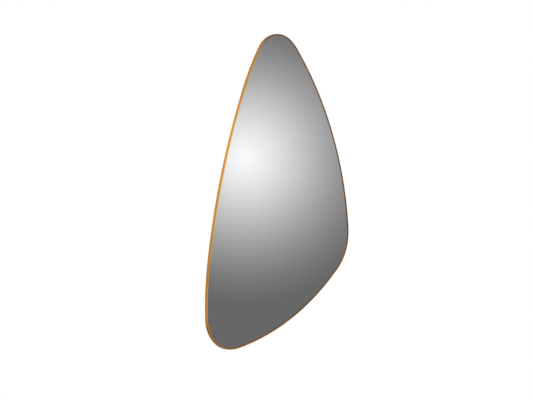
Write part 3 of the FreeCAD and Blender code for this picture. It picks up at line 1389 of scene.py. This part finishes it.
def dress_node(name: str, finish: Finish) -> None:
    """Gives a CAD node its finish.

    Args:
        name: The node.
        finish: The finish.
    """
    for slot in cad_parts[name].material_slots:
        slot.material = finish.material()
    LOG.info("%s: kept, in %s", name, finish.name)


def nodes_called(stem: str) -> list[str]:
    """Lists the CAD nodes whose names start with a stem."""
    return sorted(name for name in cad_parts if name.startswith(stem))


def inset_of(node: str) -> float:
    """Measures how far a node's outline lies inside the band's outer edge."""
    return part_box(node)[0].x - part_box(BAND_NODE)[0].x


def solid_centres(node: str, reach: float) -> list[tuple[Vector, float]]:
    """Finds the separate solids of a node that stand apart in the plane of the mirror.

    Args:
        node: The node.
        reach: The largest half width of one solid.

    Returns:
        The centre of each solid and its highest y.
    """
    groups: list[list[Vector]] = []
    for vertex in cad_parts[node].data.vertices:
        spot = vertex.co
        for group in groups:
            if math.hypot(group[0].x - spot.x, group[0].z - spot.z) < 2 * reach:
                group.append(spot.copy())
                break
        else:
            groups.append([spot.copy()])
    found = []
    for group in groups:
        low = Vector(map(min, zip(*group)))
        high = Vector(map(max, zip(*group)))
        found.append(((low + high) * 0.5, high.y))
    return found


class FittingTree:
    """A geometry tree with named sizes, which grows a fitting on a base mesh."""

    def __init__(self, name: str, sizes: Mapping[str, float]) -> None:
        """Opens the tree with one named input for each size.

        Args:
            name: The tree's name.
            sizes: The sizes and their values, in metres unless named otherwise.
        """
        self.tree = bpy.data.node_groups.new(name, "GeometryNodeTree")
        self.sizes = dict(sizes)
        self.keys: dict[str, str] = {}
        self._socket("Base", "NodeSocketGeometry")
        for size in sizes:
            self._socket(size, "NodeSocketFloat")
        self._socket("Seed", "NodeSocketInt")
        self._socket("Finish", "NodeSocketMaterial")
        self.tree.interface.new_socket(
            name="Fitting", in_out="OUTPUT", socket_type="NodeSocketGeometry"
        )
        self.graph = Graph(self.tree)
        self.entry = self.graph.node("NodeGroupInput")

    def _socket(self, name: str, kind: str) -> None:
        """Adds a named input and keeps its identifier."""
        made = self.tree.interface.new_socket(name=name, in_out="INPUT", socket_type=kind)
        self.keys[name] = made.identifier

    def size(self, name: str) -> Wire:
        """Gives a named input."""
        return Wire(self.graph, self.entry.outputs[name])

    def moved(self, mesh: Wire, up: Value) -> Wire:
        """Moves a shape along z."""
        shift = self.graph.out("ShaderNodeCombineXYZ", sockets={"Z": up})
        return self.graph.out("GeometryNodeTransform", sockets={"Geometry": mesh, "Translation": shift})

    def turned(self, rings: Sequence[tuple[Value, Value]], facets: int) -> Wire:
        """Stacks rings into a closed turned solid.

        Args:
            rings: Radius and height of each ring; the first two have the same radius.
            facets: Points in a ring.

        Returns:
            The solid, standing on its first ring.
        """
        radius, foot = rings[0]
        height = rings[1][1]
        drum = self.graph.node(
            "GeometryNodeMeshCylinder",
            {"fill_type": "NGON"},
            {"Vertices": facets, "Radius": radius, "Depth": height - foot},
        )
        top = Wire(self.graph, drum.outputs["Top"])
        mesh = self.moved(Wire(self.graph, drum.outputs["Mesh"]), (height + foot) * 0.5)
        for next_radius, next_height in rings[2:]:
            raised = self.graph.node(
                "GeometryNodeExtrudeMesh",
                {"mode": "FACES"},
                {"Mesh": mesh, "Selection": top, "Offset Scale": next_height - height},
            )
            top = Wire(self.graph, raised.outputs["Top"])
            mesh = self.graph.out(
                "GeometryNodeScaleElements",
                {"domain": "FACE"},
                {
                    "Geometry": Wire(self.graph, raised.outputs["Mesh"]),
                    "Selection": top,
                    "Scale": next_radius / radius,
                },
            )
            radius = next_radius
            height = next_height
        return mesh

    def planted(self, fitting: Wire, spin: bool) -> Wire:
        """Stands a fitting on every point of the base, its axis turned towards the wall.

        Args:
            fitting: The fitting, with its axis along z.
            spin: Whether each one is turned at random about its axis.

        Returns:
            The instances.
        """
        to_wall = (-math.pi / 2, 0.0, 0.0)
        planted = self.graph.out(
            "GeometryNodeInstanceOnPoints",
            sockets={"Points": self.size("Base"), "Instance": fitting, "Rotation": to_wall},
        )
        if not spin:
            return planted
        turn = self.graph.out(
            "FunctionNodeRandomValue",
            {"data_type": "FLOAT_VECTOR"},
            {
                RANDOM_LOW_VECTOR: (0.0, 0.0, 0.0),
                RANDOM_HIGH_VECTOR: (0.0, 0.0, math.pi),
                "Seed": self.size("Seed"),
            },
        )
        return self.graph.out(
            "GeometryNodeRotateInstances",
            sockets={"Instances": planted, "Rotation": turn, "Local Space": True},
        )

    def close(self, fitting: Wire, sharp_deg: float) -> None:
        """Ends the tree: plain mesh, smooth faces, sharp edges and the finish.

        Args:
            fitting: The finished geometry.
            sharp_deg: The angle above which an edge is drawn sharp.
        """
        plain = self.graph.out("GeometryNodeRealizeInstances", sockets={"Geometry": fitting})
        smooth = self.graph.out(
            "GeometryNodeSetShadeSmooth", {"domain": "FACE"}, {"Geometry": plain, "Shade Smooth": True}
        )
        angle = self.graph.out("GeometryNodeInputMeshEdgeAngle", key="Unsigned Angle")
        keen = self.graph.out(
            "FunctionNodeCompare",
            {"data_type": "FLOAT", "operation": "GREATER_THAN"},
            {0: angle, 1: math.radians(sharp_deg)},
        )
        edged = self.graph.out(
            "GeometryNodeSetShadeSmooth",
            {"domain": "EDGE"},
            {"Geometry": smooth, "Selection": keen, "Shade Smooth": False},
        )
        dressed = self.graph.out(
            "GeometryNodeSetMaterial", sockets={"Geometry": edged, "Material": self.size("Finish")}
        )
        self.graph.node("NodeGroupOutput", sockets={0: dressed})

    def grow(self, name: str, base: bpy.types.Mesh, finish: Finish, seed: int = 0) -> bpy.types.Object:
        """Grows the fitting on a base mesh and keeps the result as a plain mesh.

        Args:
            name: The piece's name.
            base: The points or lines that it grows on.
            finish: Its finish.
            seed: The seed of what is random in it.

        Returns:
            The piece.
        """
        carrier = bpy.data.objects.new(f"{name}_base", base)
        bpy.context.scene.collection.objects.link(carrier)
        modifier = carrier.modifiers.new("grow", "NODES")
        modifier.node_group = self.tree
        for size, value in self.sizes.items():
            modifier[self.keys[size]] = value
        modifier[self.keys["Seed"]] = seed
        modifier[self.keys["Finish"]] = finish.material()
        layers = bpy.context.evaluated_depsgraph_get()
        mesh = bpy.data.meshes.new_from_object(carrier.evaluated_get(layers), depsgraph=layers)
        carrier.modifiers.remove(modifier)
        bpy.data.objects.remove(carrier)
        mesh.name = name
        piece = bpy.data.objects.new(name, mesh)
        bpy.context.scene.collection.objects.link(piece)
        return piece


def point_mesh(
    name: str, points: Sequence[Vector], lines: Sequence[tuple[int, int]] = ()
) -> bpy.types.Mesh:
    """Makes a mesh of points and lines only.

    Args:
        name: The mesh's name.
        points: Its points.
        lines: Pairs of point numbers.

    Returns:
        The mesh.
    """
    mesh = bpy.data.meshes.new(name)
    mesh.from_pydata(points, lines, [])
    return mesh


@dataclass
class GildedBand:
    """The flat steel bar, bent on edge into a rounded triangle and gilded."""

    outline: Outline
    finish: GiltLeaf
    node: str = BAND_NODE
    wall: float = BAND_WALL
    edge_radius: float = 0.35 * MM
    front_fall: float = 0.35 * MM
    leaf_wrap: float = 0.8 * MM
    bole_depth: float = 3.0 * MM
    hold: float = 0.1 * MM
    rub: float = 1.0
    hidden_rub: float = 0.6
    cuts: int = 5
    spacing: float = 4.0 * MM
    sharp_deg: float = 40.0

    def section(self) -> list[SectionPoint]:
        """Draws the bar's section with its four edges eased.

        Returns:
            The points, round the section.
        """
        low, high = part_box(self.node)
        front, rear = low.y, high.y
        r = self.edge_radius
        inner = self.wall
        points = self._eased(r, front + r, BarEdge.FRONT_OUTER, self.rub, Cover.LEAF)
        points += self._flat(r, front, inner - r, front, Cover.LEAF, Cover.LEAF)
        points += self._eased(inner - r, front + r, BarEdge.FRONT_INNER, self.rub, Cover.LEAF)
        points = [self._fallen(point) for point in points]
        # The leaf wraps only a little way into the reveal, and the inner wall is left in bole and black
        # coat, as gilders leave it. This dark reveal also stands in as painted shade along the band's inner
        # edge.
        points += self._flat(inner, front + r, inner, front + r + self.leaf_wrap, Cover.LEAF, Cover.TORN)
        points.append(SectionPoint(inner, front + self.bole_depth, cover=Cover.BOLE))
        points.append(SectionPoint(inner, rear - r - self.hold, cover=Cover.COAT))
        points += self._eased(inner - r, rear - r, BarEdge.REAR_INNER, self.hidden_rub, Cover.COAT)
        points += self._flat(inner - r, rear, r, rear, Cover.COAT, Cover.BOLE)
        points += self._eased(r, rear - r, BarEdge.REAR_OUTER, self.rub, Cover.WORN)
        points += self._flat(0.0, rear - r, 0.0, front + r, Cover.LEAF, Cover.LEAF)
        return points

    def _eased(
        self, inset: float, depth: float, edge: BarEdge, rub: float, cover: Cover
    ) -> list[SectionPoint]:
        """Rounds one edge of the bar with a quarter circle.

        Args:
            inset: Inset of the quarter circle's centre.
            depth: Depth of its centre.
            edge: The edge, by the angle where the round starts.
            rub: How near its middle counts as the rim, where the leaf is rubbed.
            cover: What covers it.

        Returns:
            The points of the quarter circle.
        """
        points = []
        for cut in range(self.cuts + 1):
            share = cut / self.cuts
            angle = math.radians(edge) + math.pi / 2 * share
            points.append(
                SectionPoint(
                    inset + self.edge_radius * math.cos(angle),
                    depth + self.edge_radius * math.sin(angle),
                    rub * math.sin(math.pi * share),
                    cover,
                )
            )
        return points

    def _fallen(self, point: SectionPoint) -> SectionPoint:
        """Lets the front of the bar fall back a little towards its outer edge."""
        return replace(point, depth=point.depth + self.front_fall * (1 - point.inset / self.wall))

    def _flat(
        self, inset: float, depth: float, to_inset: float, to_depth: float, cover: Cover, to_cover: Cover
    ) -> list[SectionPoint]:
        """Holds a flat straight between two eased edges.

        Args:
            inset: Inset where the flat starts.
            depth: Depth where it starts.
            to_inset: Inset where it ends.
            to_depth: Depth where it ends.
            cover: What covers its start.
            to_cover: What covers its end.

        Returns:
            Points just inside both ends and at the middle.
        """
        run = math.hypot(to_inset - inset, to_depth - depth)
        points = []
        for share in (self.hold / run, 0.5, 1.0 - self.hold / run):
            points.append(
                SectionPoint(
                    inset + (to_inset - inset) * share,
                    depth + (to_depth - depth) * share,
                    cover=cover + (to_cover - cover) * share,
                )
            )
        return points

    def build(self) -> None:
        """Sweeps, gilds and hangs the band."""
        sweep = Sweep(self.outline, self.spacing)
        piece = sweep.build("gilded_band", self.section(), [self.finish], True, self.sharp_deg)
        settle(piece, [self.node])


@dataclass
class MirrorPane:
    """The silvered glass pane with its ground arris."""

    outline: Outline
    silver: SilveredGlass
    arris_finish: GroundGlass
    back_finish: BackingPaint
    node: str = PANE_NODE
    arris: float = 0.6 * MM
    rear_arris: float = 0.5 * MM
    margins: tuple[float, ...] = (90.0 * MM, 30.0 * MM, 9.0 * MM)
    spacing: float = 4.0 * MM
    sharp_deg: float = 20.0

    def section(self) -> list[SectionPoint]:
        """Draws the pane from the middle of its face round to its back.

        Returns:
            The points.
        """
        low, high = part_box(self.node)
        face, back = low.y, high.y
        edge = inset_of(self.node)
        points = [SectionPoint(edge + margin, face, skin=PaneSkin.SILVER) for margin in self.margins]
        points.append(SectionPoint(edge + self.arris, face, rim=1.0, skin=PaneSkin.ARRIS))
        points.append(SectionPoint(edge, face + self.arris, rim=1.0, skin=PaneSkin.ARRIS))
        points.append(SectionPoint(edge, back - self.rear_arris, rim=1.0, skin=PaneSkin.ARRIS))
        points.append(SectionPoint(edge + self.rear_arris, back, rim=1.0, skin=PaneSkin.BACK))
        return points

    def build(self) -> None:
        """Sweeps, silvers and hangs the pane."""
        sweep = Sweep(self.outline, self.spacing)
        finishes = [self.silver, self.arris_finish, self.back_finish]
        piece = sweep.build("silvered_pane", self.section(), finishes, False, self.sharp_deg)
        settle(piece, [self.node])


@dataclass
class EdgeSealAndShadeGap:
    """The rubber cord pressed between the pane's edge and the band; its black also stands in as painted
    shade in the gap.
    """

    outline: Outline
    finish: MouldedRubber
    pane_node: str = PANE_NODE
    wall: float = BAND_WALL
    pressed: float = 0.03 * MM
    sunk: float = 1.9 * MM
    shoulder: float = 2.2 * MM
    cuts: int = 6
    spacing: float = 4.0 * MM
    sharp_deg: float = 50.0

    def section(self) -> list[SectionPoint]:
        """Draws the cord with its rounded front between the band and the glass.

        Returns:
            The points, round the section.
        """
        low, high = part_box(self.pane_node)
        front = low.y + self.sunk
        side = low.y + self.shoulder
        outer = self.wall - self.pressed
        inner = inset_of(self.pane_node) + self.pressed
        middle = (outer + inner) / 2
        half = (inner - outer) / 2
        points = [SectionPoint(outer, high.y)]
        for cut in range(self.cuts + 1):
            angle = math.pi * (1 + cut / self.cuts)
            points.append(
                SectionPoint(middle + half * math.cos(angle), side + (side - front) * math.sin(angle))
            )
        points.append(SectionPoint(inner, high.y))
        return points

    def build(self) -> None:
        """Sweeps and hangs the cord."""
        sweep = Sweep(self.outline, self.spacing)
        # The black cord also stands in as painted shade in the gap between pane and band.
        piece = sweep.build("edge_seal_and_shade_gap", self.section(), [self.finish], True, self.sharp_deg)
        settle(piece, [])


@dataclass
class BackBoard:
    """The fibreboard behind the pane, bevelled round its rear edge."""

    outline: Outline
    finish: Fibreboard
    tape_finish: FoamTape
    node: str = "backing_board"
    tape_stem: str = "mounting_tape"
    bevel: float = 3.0 * MM
    bevel_end: float = 0.9
    ease: float = 0.4 * MM
    bevel_ease: float = 0.3
    front_fade: float = 2.0
    rear_fade: float = 3.0
    front_rim: float = 0.5
    bevel_rim: float = 0.9
    rear_rim: float = 0.6
    flat_reach: float = 40.0 * MM
    spacing: float = 5.0 * MM
    sharp_deg: float = 30.0

    def section(self) -> list[SectionPoint]:
        """Draws the board from the middle of its front face round to its rear face.

        Returns:
            The points.
        """
        low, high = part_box(self.node)
        inset = inset_of(self.node)
        front, rear = low.y, high.y
        bevel = self.bevel
        ease = self.ease
        climb = bevel * self.bevel_end
        return [
            SectionPoint(inset + self.flat_reach, front),
            SectionPoint(inset + ease * self.front_fade, front),
            SectionPoint(inset + ease, front, rim=self.front_rim),
            SectionPoint(inset, front + ease, rim=1.0),
            SectionPoint(inset, rear - bevel - ease, rim=1.0),
            SectionPoint(inset + ease * self.bevel_ease, rear - bevel, rim=self.bevel_rim),
            SectionPoint(inset + climb, rear - bevel + climb, rim=self.bevel_rim),
            SectionPoint(inset + bevel + ease, rear, rim=self.rear_rim),
            SectionPoint(inset + bevel + ease * self.rear_fade, rear),
            SectionPoint(inset + self.flat_reach, rear),
        ]

    def build(self) -> None:
        """Sweeps, dresses and hangs the board, and dresses the tape in front of it."""
        sweep = Sweep(self.outline, self.spacing)
        piece = sweep.build("fibreboard_back", self.section(), [self.finish], False, self.sharp_deg)
        settle(piece, [self.node])
        for node in nodes_called(self.tape_stem):
            dress_node(node, self.tape_finish)


@dataclass
class FrameBrackets:
    """The angle brackets behind the band and the weld beads that hold them."""

    outline: Outline
    finish: BlackCoat
    stem: str = "frame_bracket"
    bead_inset: float = 3.1 * MM
    bead_rise: float = 0.5 * MM
    bead_run: float = 17.0 * MM
    bead_radius: float = 1.5 * MM
    ripple_pitch: float = 1.5 * MM
    ripple_share: float = 0.13
    ripple_cuts: int = 6
    unevenness: float = 0.05
    taper_rate: float = 14.0
    taper_start: float = 0.08
    facets: int = 14
    sharp_deg: float = 50.0
    seed: int = 7

    def _bead_tree(self) -> FittingTree:
        """Builds the tree that lays a rippled bead along each line.

        Returns:
            The tree.
        """
        tree = FittingTree(
            "weld_bead",
            {
                "Bead Radius": self.bead_radius,
                "Ripple Pitch": self.ripple_pitch,
                "Ripple Share": self.ripple_share,
                "Unevenness": self.unevenness,
            },
        )
        graph = tree.graph
        line = graph.out("GeometryNodeMeshToCurve", sockets={"Mesh": tree.size("Base")})
        path = graph.out(
            "GeometryNodeResampleCurve",
            {"mode": "LENGTH"},
            {"Curve": line, "Length": tree.size("Ripple Pitch") / self.ripple_cuts},
        )
        run = graph.node("GeometryNodeSplineParameter")
        length = Wire(graph, run.outputs["Length"])
        share = Wire(graph, run.outputs["Factor"])
        uneven = graph.out(
            "FunctionNodeRandomValue",
            {"data_type": "FLOAT"},
            {RANDOM_LOW: -1.0, RANDOM_HIGH: 1.0, "Seed": tree.size("Seed")},
            key=RANDOM_RESULT,
        )
        wave = (length * math.tau / tree.size("Ripple Pitch")).sine()
        taper = ((share.lower(1 - share) * self.taper_rate + self.taper_start).lower(1.0)) ** 0.5
        swell = 1 + wave * tree.size("Ripple Share") + uneven * tree.size("Unevenness")
        ring = graph.out(
            "GeometryNodeCurvePrimitiveCircle", sockets={"Resolution": self.facets, "Radius": 1.0}
        )
        bead = graph.out(
            "GeometryNodeCurveToMesh",
            sockets={
                "Curve": path,
                "Profile Curve": ring,
                "Scale": tree.size("Bead Radius") * swell * taper,
                "Fill Caps": True,
            },
        )
        tree.close(bead, self.sharp_deg)
        return tree

    def build(self) -> None:
        """Lays the beads along the brackets and dresses the brackets."""
        _, band_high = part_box(BAND_NODE)
        points: list[Vector] = []
        lines: list[tuple[int, int]] = []
        for node in nodes_called(self.stem):
            low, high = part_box(node)
            station = self.outline.nearest((low + high) * 0.5)
            middle = station.point(self.bead_inset, band_high.y + self.bead_rise)
            half = station.tangent() * self.bead_run / 2
            lines.append((len(points), len(points) + 1))
            points += [middle - half, middle + half]
            dress_node(node, self.finish)
        base = point_mesh("bead_lines", points, lines)
        piece = self._bead_tree().grow("bracket_welds", base, self.finish, self.seed)
        settle(piece, [])


@dataclass
class PanHeadScrews:
    """The pan-head screws with cross recesses that hold brackets and hangers to the board."""

    finish: ZincPlate
    sets: tuple[tuple[str, str], ...] = (
        ("bracket_screws", "bracket_screw_set"),
        ("hanger_screws", "hanger_screw_set"),
    )
    head_radius: float = 3.5 * MM
    head_height: float = 2.2 * MM
    rim_height: float = 0.7 * MM
    dome_degrees: tuple[float, ...] = (18.0, 36.0, 54.0, 70.0, 82.0)
    dome_fullness: float = 0.75
    head_facets: int = 32
    shank_radius: float = 1.6 * MM
    shank_length: float = 4.5 * MM
    shank_facets: int = 16
    point_length: float = 2.0 * MM
    point_rings: RingShares = ((0.5, 0.6), (0.08, 1.0))
    recess_span: float = 3.9 * MM
    recess_width: float = 0.95 * MM
    recess_depth: float = 1.5 * MM
    recess_spare: float = 0.3 * MM
    recess_taper: float = 0.42
    sharp_deg: float = 32.0
    seed: int = 11

    def _tree(self) -> FittingTree:
        """Builds the tree that turns a screw and plants it on every seat.

        Returns:
            The tree.
        """
        tree = FittingTree(
            "pan_head_screw",
            {
                "Head Radius": self.head_radius,
                "Head Height": self.head_height,
                "Rim Height": self.rim_height,
                "Shank Radius": self.shank_radius,
                "Shank Length": self.shank_length,
                "Point Length": self.point_length,
                "Recess Span": self.recess_span,
                "Recess Width": self.recess_width,
                "Recess Depth": self.recess_depth,
            },
        )
        head = tree.graph.out(
            "GeometryNodeMeshBoolean",
            {"operation": "DIFFERENCE", "solver": "EXACT"},
            {"Mesh 1": self._head(tree), "Mesh 2": self._recess(tree)},
        )
        screw = tree.graph.out("GeometryNodeJoinGeometry", sockets={0: [head, self._shank(tree)]})
        tree.close(tree.planted(screw, True), self.sharp_deg)
        return tree

    def _head(self, tree: FittingTree) -> Wire:
        """Turns the domed head above its seat.

        Args:
            tree: The screw's tree.

        Returns:
            The head.
        """
        radius = tree.size("Head Radius")
        rim = tree.size("Rim Height")
        dome = tree.size("Head Height") - rim
        rings: list[tuple[Value, Value]] = [(radius, 0.0), (radius, rim)]
        for degrees in self.dome_degrees:
            angle = math.radians(degrees)
            rings.append((radius * math.cos(angle) ** self.dome_fullness, rim + dome * math.sin(angle)))
        return tree.turned(rings, self.head_facets)

    def _shank(self, tree: FittingTree) -> Wire:
        """Turns the shank below the seat, down to its point.

        Args:
            tree: The screw's tree.

        Returns:
            The shank.
        """
        radius = tree.size("Shank Radius")
        length = tree.size("Shank Length")
        tip = tree.size("Point Length")
        rings: list[tuple[Value, Value]] = [(radius, 0.0), (radius, length)]
        for wide, down in self.point_rings:
            rings.append((radius * wide, length + tip * down))
        upright = tree.turned(rings, self.shank_facets)
        return tree.graph.out(
            "GeometryNodeTransform", sockets={"Geometry": upright, "Rotation": (math.pi, 0.0, 0.0)}
        )

    def _recess(self, tree: FittingTree) -> list[Wire]:
        """Shapes the two crossed wedges that are cut from the head.

        Args:
            tree: The screw's tree.

        Returns:
            The two wedges.
        """
        graph = tree.graph
        span = tree.size("Recess Span")
        reach = span * HALF_DIAGONAL
        wedge = graph.out(
            "GeometryNodeMeshCone",
            {"fill_type": "NGON"},
            {
                "Vertices": 4,
                "Radius Top": reach,
                "Radius Bottom": reach * self.recess_taper,
                "Depth": tree.size("Recess Depth") + self.recess_spare,
            },
        )
        square = graph.out(
            "GeometryNodeTransform", sockets={"Geometry": wedge, "Rotation": (0.0, 0.0, math.pi / 4)}
        )
        narrow = tree.size("Recess Width") / span
        slim = graph.out("ShaderNodeCombineXYZ", sockets={0: 1.0, 1: narrow, 2: 1.0})
        blade = graph.out("GeometryNodeTransform", sockets={"Geometry": square, "Scale": slim})
        sunk = tree.moved(blade, tree.size("Head Height") - tree.size("Recess Depth"))
        crossed = graph.out(
            "GeometryNodeTransform", sockets={"Geometry": sunk, "Rotation": (0.0, 0.0, math.pi / 2)}
        )
        return [sunk, crossed]

    def build(self) -> None:
        """Plants a screw on every seat and hangs both sets."""
        tree = self._tree()
        for place, (node, name) in enumerate(self.sets):
            seats = []
            for centre, top in solid_centres(node, self.head_radius):
                seats.append(Vector((centre.x, top - self.head_height, centre.z)))
            base = point_mesh(f"{name}_seats", seats)
            piece = tree.grow(name, base, self.finish, self.seed + place)
            settle(piece, [node])


@dataclass
class RubberBumpers:
    """The rubber bumpers that keep the board off the wall."""

    finish: MouldedRubber
    stem: str = "wall_bumper"
    base_radius: float = 9.0 * MM
    face_radius: float = 7.5 * MM
    height: float = 7.0 * MM
    edge_radius: float = 1.2 * MM
    dish_depth: float = 0.8 * MM
    foot_rings: RingShares = ((1.0, 0.0), (1.0, 0.06), (0.985, 0.1))
    flare: float = 0.12
    edge_degrees: tuple[float, ...] = (22.0, 45.0, 68.0, 90.0)
    dish_rings: RingShares = ((1.5, 0.0), (1.9, 0.7), (2.3, 1.0))
    dish_middle: float = 0.2
    facets: int = 48
    sharp_deg: float = 45.0

    def _tree(self) -> FittingTree:
        """Builds the tree that turns a bumper and plants it on every place.

        Returns:
            The tree.
        """
        tree = FittingTree(
            "rubber_bumper",
            {
                "Base Radius": self.base_radius,
                "Face Radius": self.face_radius,
                "Height": self.height,
                "Edge Radius": self.edge_radius,
                "Dish Depth": self.dish_depth,
            },
        )
        base = tree.size("Base Radius")
        face = tree.size("Face Radius")
        height = tree.size("Height")
        edge = tree.size("Edge Radius")
        dish = tree.size("Dish Depth")
        rings: list[tuple[Value, Value]] = [(base * wide, height * up) for wide, up in self.foot_rings]
        rings.append((face + edge * self.flare, height - edge))
        for degrees in self.edge_degrees:
            angle = math.radians(degrees)
            rings.append((face - edge * (1 - math.cos(angle)), height - edge * (1 - math.sin(angle))))
        for inward, down in self.dish_rings:
            rings.append((face - edge * inward, height - dish * down))
        rings.append((face * self.dish_middle, height - dish))
        tree.close(tree.planted(tree.turned(rings, self.facets), False), self.sharp_deg)
        return tree

    def build(self) -> None:
        """Plants the bumpers on the board and hangs them."""
        places = []
        bumpers = nodes_called(self.stem)
        for node in bumpers:
            low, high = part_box(node)
            places.append(Vector(((low.x + high.x) / 2, low.y, (low.z + high.z) / 2)))
        piece = self._tree().grow("rubber_bumpers", point_mesh("bumper_places", places), self.finish)
        settle(piece, bumpers)


@dataclass
class RingHangers:
    """The two ring hangers: zinc straps on the board and nickelled rings that swing in them."""

    strap_finish: ZincPlate
    ring_finish: DrawnWire
    strap_stem: str = "hanger_strap"
    ring_stem: str = "hanger_ring"

    def build(self) -> None:
        """Dresses straps and rings."""
        for node in nodes_called(self.strap_stem):
            dress_node(node, self.strap_finish)
        for node in nodes_called(self.ring_stem):
            dress_node(node, self.ring_finish)


@dataclass(frozen=True)
class Lamp:
    """A soft square lamp, in metres and watts."""

    name: str
    place: Triple
    power: float
    size: float = 3.2


@dataclass
class Studio:
    """The plain studio: floor, wall, lamps, world and the camera of the photograph."""

    floor_finish: PaleFloor
    wall_finish: StudioWall
    floor_height: float = -2.0
    floor_radius: float = 1.25
    floor_facets: int = 96
    wall_low: float = -9.0
    wall_high: float = 14.0
    wall_facets: int = 128
    world_light: float = 0.72
    lamps: tuple[Lamp, ...] = (
        Lamp("lamp_front", (-1.9, -2.6, 2.3), 42.0),
        Lamp("lamp_side", (3.0, -1.6, 2.2), 26.0),
        Lamp("lamp_back", (0.9, 3.2, 1.9), 40.0),
    )
    target: Triple = (-0.0618, -0.02, -0.3001)
    distance: float = 5.0225
    azimuth_deg: float = -45.0
    lens: float = 96.75
    sensor_width: float = 36.0
    sight_end: float = 50.0

    @staticmethod
    def _ring(radius: float, height: float, count: int) -> list[Vector]:
        """Sets out a level ring of points."""
        return [heading(math.tau * i / count).xzy * radius + Vector((0, 0, height)) for i in range(count)]

    def _stage(self, name: str, mesh: bpy.types.Mesh, finish: Finish) -> bpy.types.Object:
        """Puts a stage piece into the scene.

        Args:
            name: The piece's name.
            mesh: Its mesh.
            finish: Its finish.

        Returns:
            The stage piece.
        """
        mesh.materials.append(finish.material())
        piece = bpy.data.objects.new(name, mesh)
        bpy.context.scene.collection.objects.link(piece)
        LOG.info("%s: stage", name)
        return piece

    def build_floor(self) -> None:
        """Lays the round floor."""
        mesh = bpy.data.meshes.new("studio_floor")
        rim = self._ring(self.floor_radius, self.floor_height, self.floor_facets)
        mesh.from_pydata(rim, [], [tuple(range(self.floor_facets))])
        self._stage("studio_floor", mesh, self.floor_finish)

    def build_wall(self) -> None:
        """Sets the round wall up where only reflections meet it."""
        count = self.wall_facets
        mesh = bpy.data.meshes.new("studio_wall")
        radius = self.wall_finish.radius
        points = self._ring(radius, self.wall_low, count) + self._ring(radius, self.wall_high, count)
        faces = []
        for i in range(count):
            j = (i + 1) % count
            faces.append((i, i + count, j + count, j))
        mesh.from_pydata(points, [], faces)
        wall = self._stage("studio_wall", mesh, self.wall_finish)
        wall.visible_camera = False
        wall.visible_diffuse = False
        wall.visible_transmission = False
        wall.visible_shadow = False

    def build_lamp(self, lamp: Lamp) -> None:
        """Hangs a lamp and aims it at the mirror.

        Args:
            lamp: The lamp.
        """
        light = bpy.data.lights.new(lamp.name, "AREA")
        light.shape = "SQUARE"
        light.size = lamp.size
        light.energy = lamp.power
        holder = bpy.data.objects.new(lamp.name, light)
        holder.location = lamp.place
        aim = Vector(self.target) - Vector(lamp.place)
        holder.rotation_euler = aim.to_track_quat("-Z", "Y").to_euler()
        holder.visible_camera = False
        holder.visible_glossy = False
        bpy.context.scene.collection.objects.link(holder)

    def build_world(self) -> None:
        """Makes the world white to the eye and soft as a light."""
        world = bpy.data.worlds.new("studio_world")
        world.use_nodes = True
        graph = Graph(world.node_tree)
        strength = self.world_light + seen_share(graph) * (1.0 - self.world_light)
        light = graph.out("ShaderNodeBackground", sockets={"Color": WHITE, "Strength": strength})
        graph.node("ShaderNodeOutputWorld", sockets={"Surface": light})
        bpy.context.scene.world = world

    def build_camera(self) -> None:
        """Puts the camera where the photograph was taken from."""
        turn = math.radians(self.azimuth_deg)
        back = Vector((math.sin(turn), -math.cos(turn), 0.0))
        lens = bpy.data.cameras.new("photo_camera")
        lens.lens = self.lens
        lens.sensor_width = self.sensor_width
        lens.clip_end = self.sight_end
        camera = bpy.data.objects.new("photo_camera", lens)
        camera.location = Vector(self.target) + back * self.distance
        camera.rotation_euler = (-back).to_track_quat("-Z", "Y").to_euler()
        bpy.context.scene.collection.objects.link(camera)
        bpy.context.scene.camera = camera

    def build(self) -> None:
        """Sets up the whole studio."""
        self.build_floor()
        self.build_wall()
        self.build_world()
        for lamp in self.lamps:
            self.build_lamp(lamp)
        self.build_camera()
        bpy.context.scene.view_settings.view_transform = "Standard"


def main() -> None:
    """Builds the mirror, its fittings and the studio in order."""
    logging.basicConfig(level=logging.INFO, format="%(name)s %(message)s")
    outline = Outline()
    zinc = ZincPlate()
    rubber = MouldedRubber()
    GildedBand(outline, GiltLeaf()).build()
    MirrorPane(outline, SilveredGlass(), GroundGlass(), BackingPaint()).build()
    EdgeSealAndShadeGap(outline, rubber).build()
    BackBoard(outline, Fibreboard(), FoamTape()).build()
    FrameBrackets(outline, BlackCoat()).build()
    PanHeadScrews(zinc).build()
    RubberBumpers(rubber).build()
    RingHangers(zinc, DrawnWire()).build()
    Studio(PaleFloor(), StudioWall()).build()


if __name__ == "__main__":
    main()
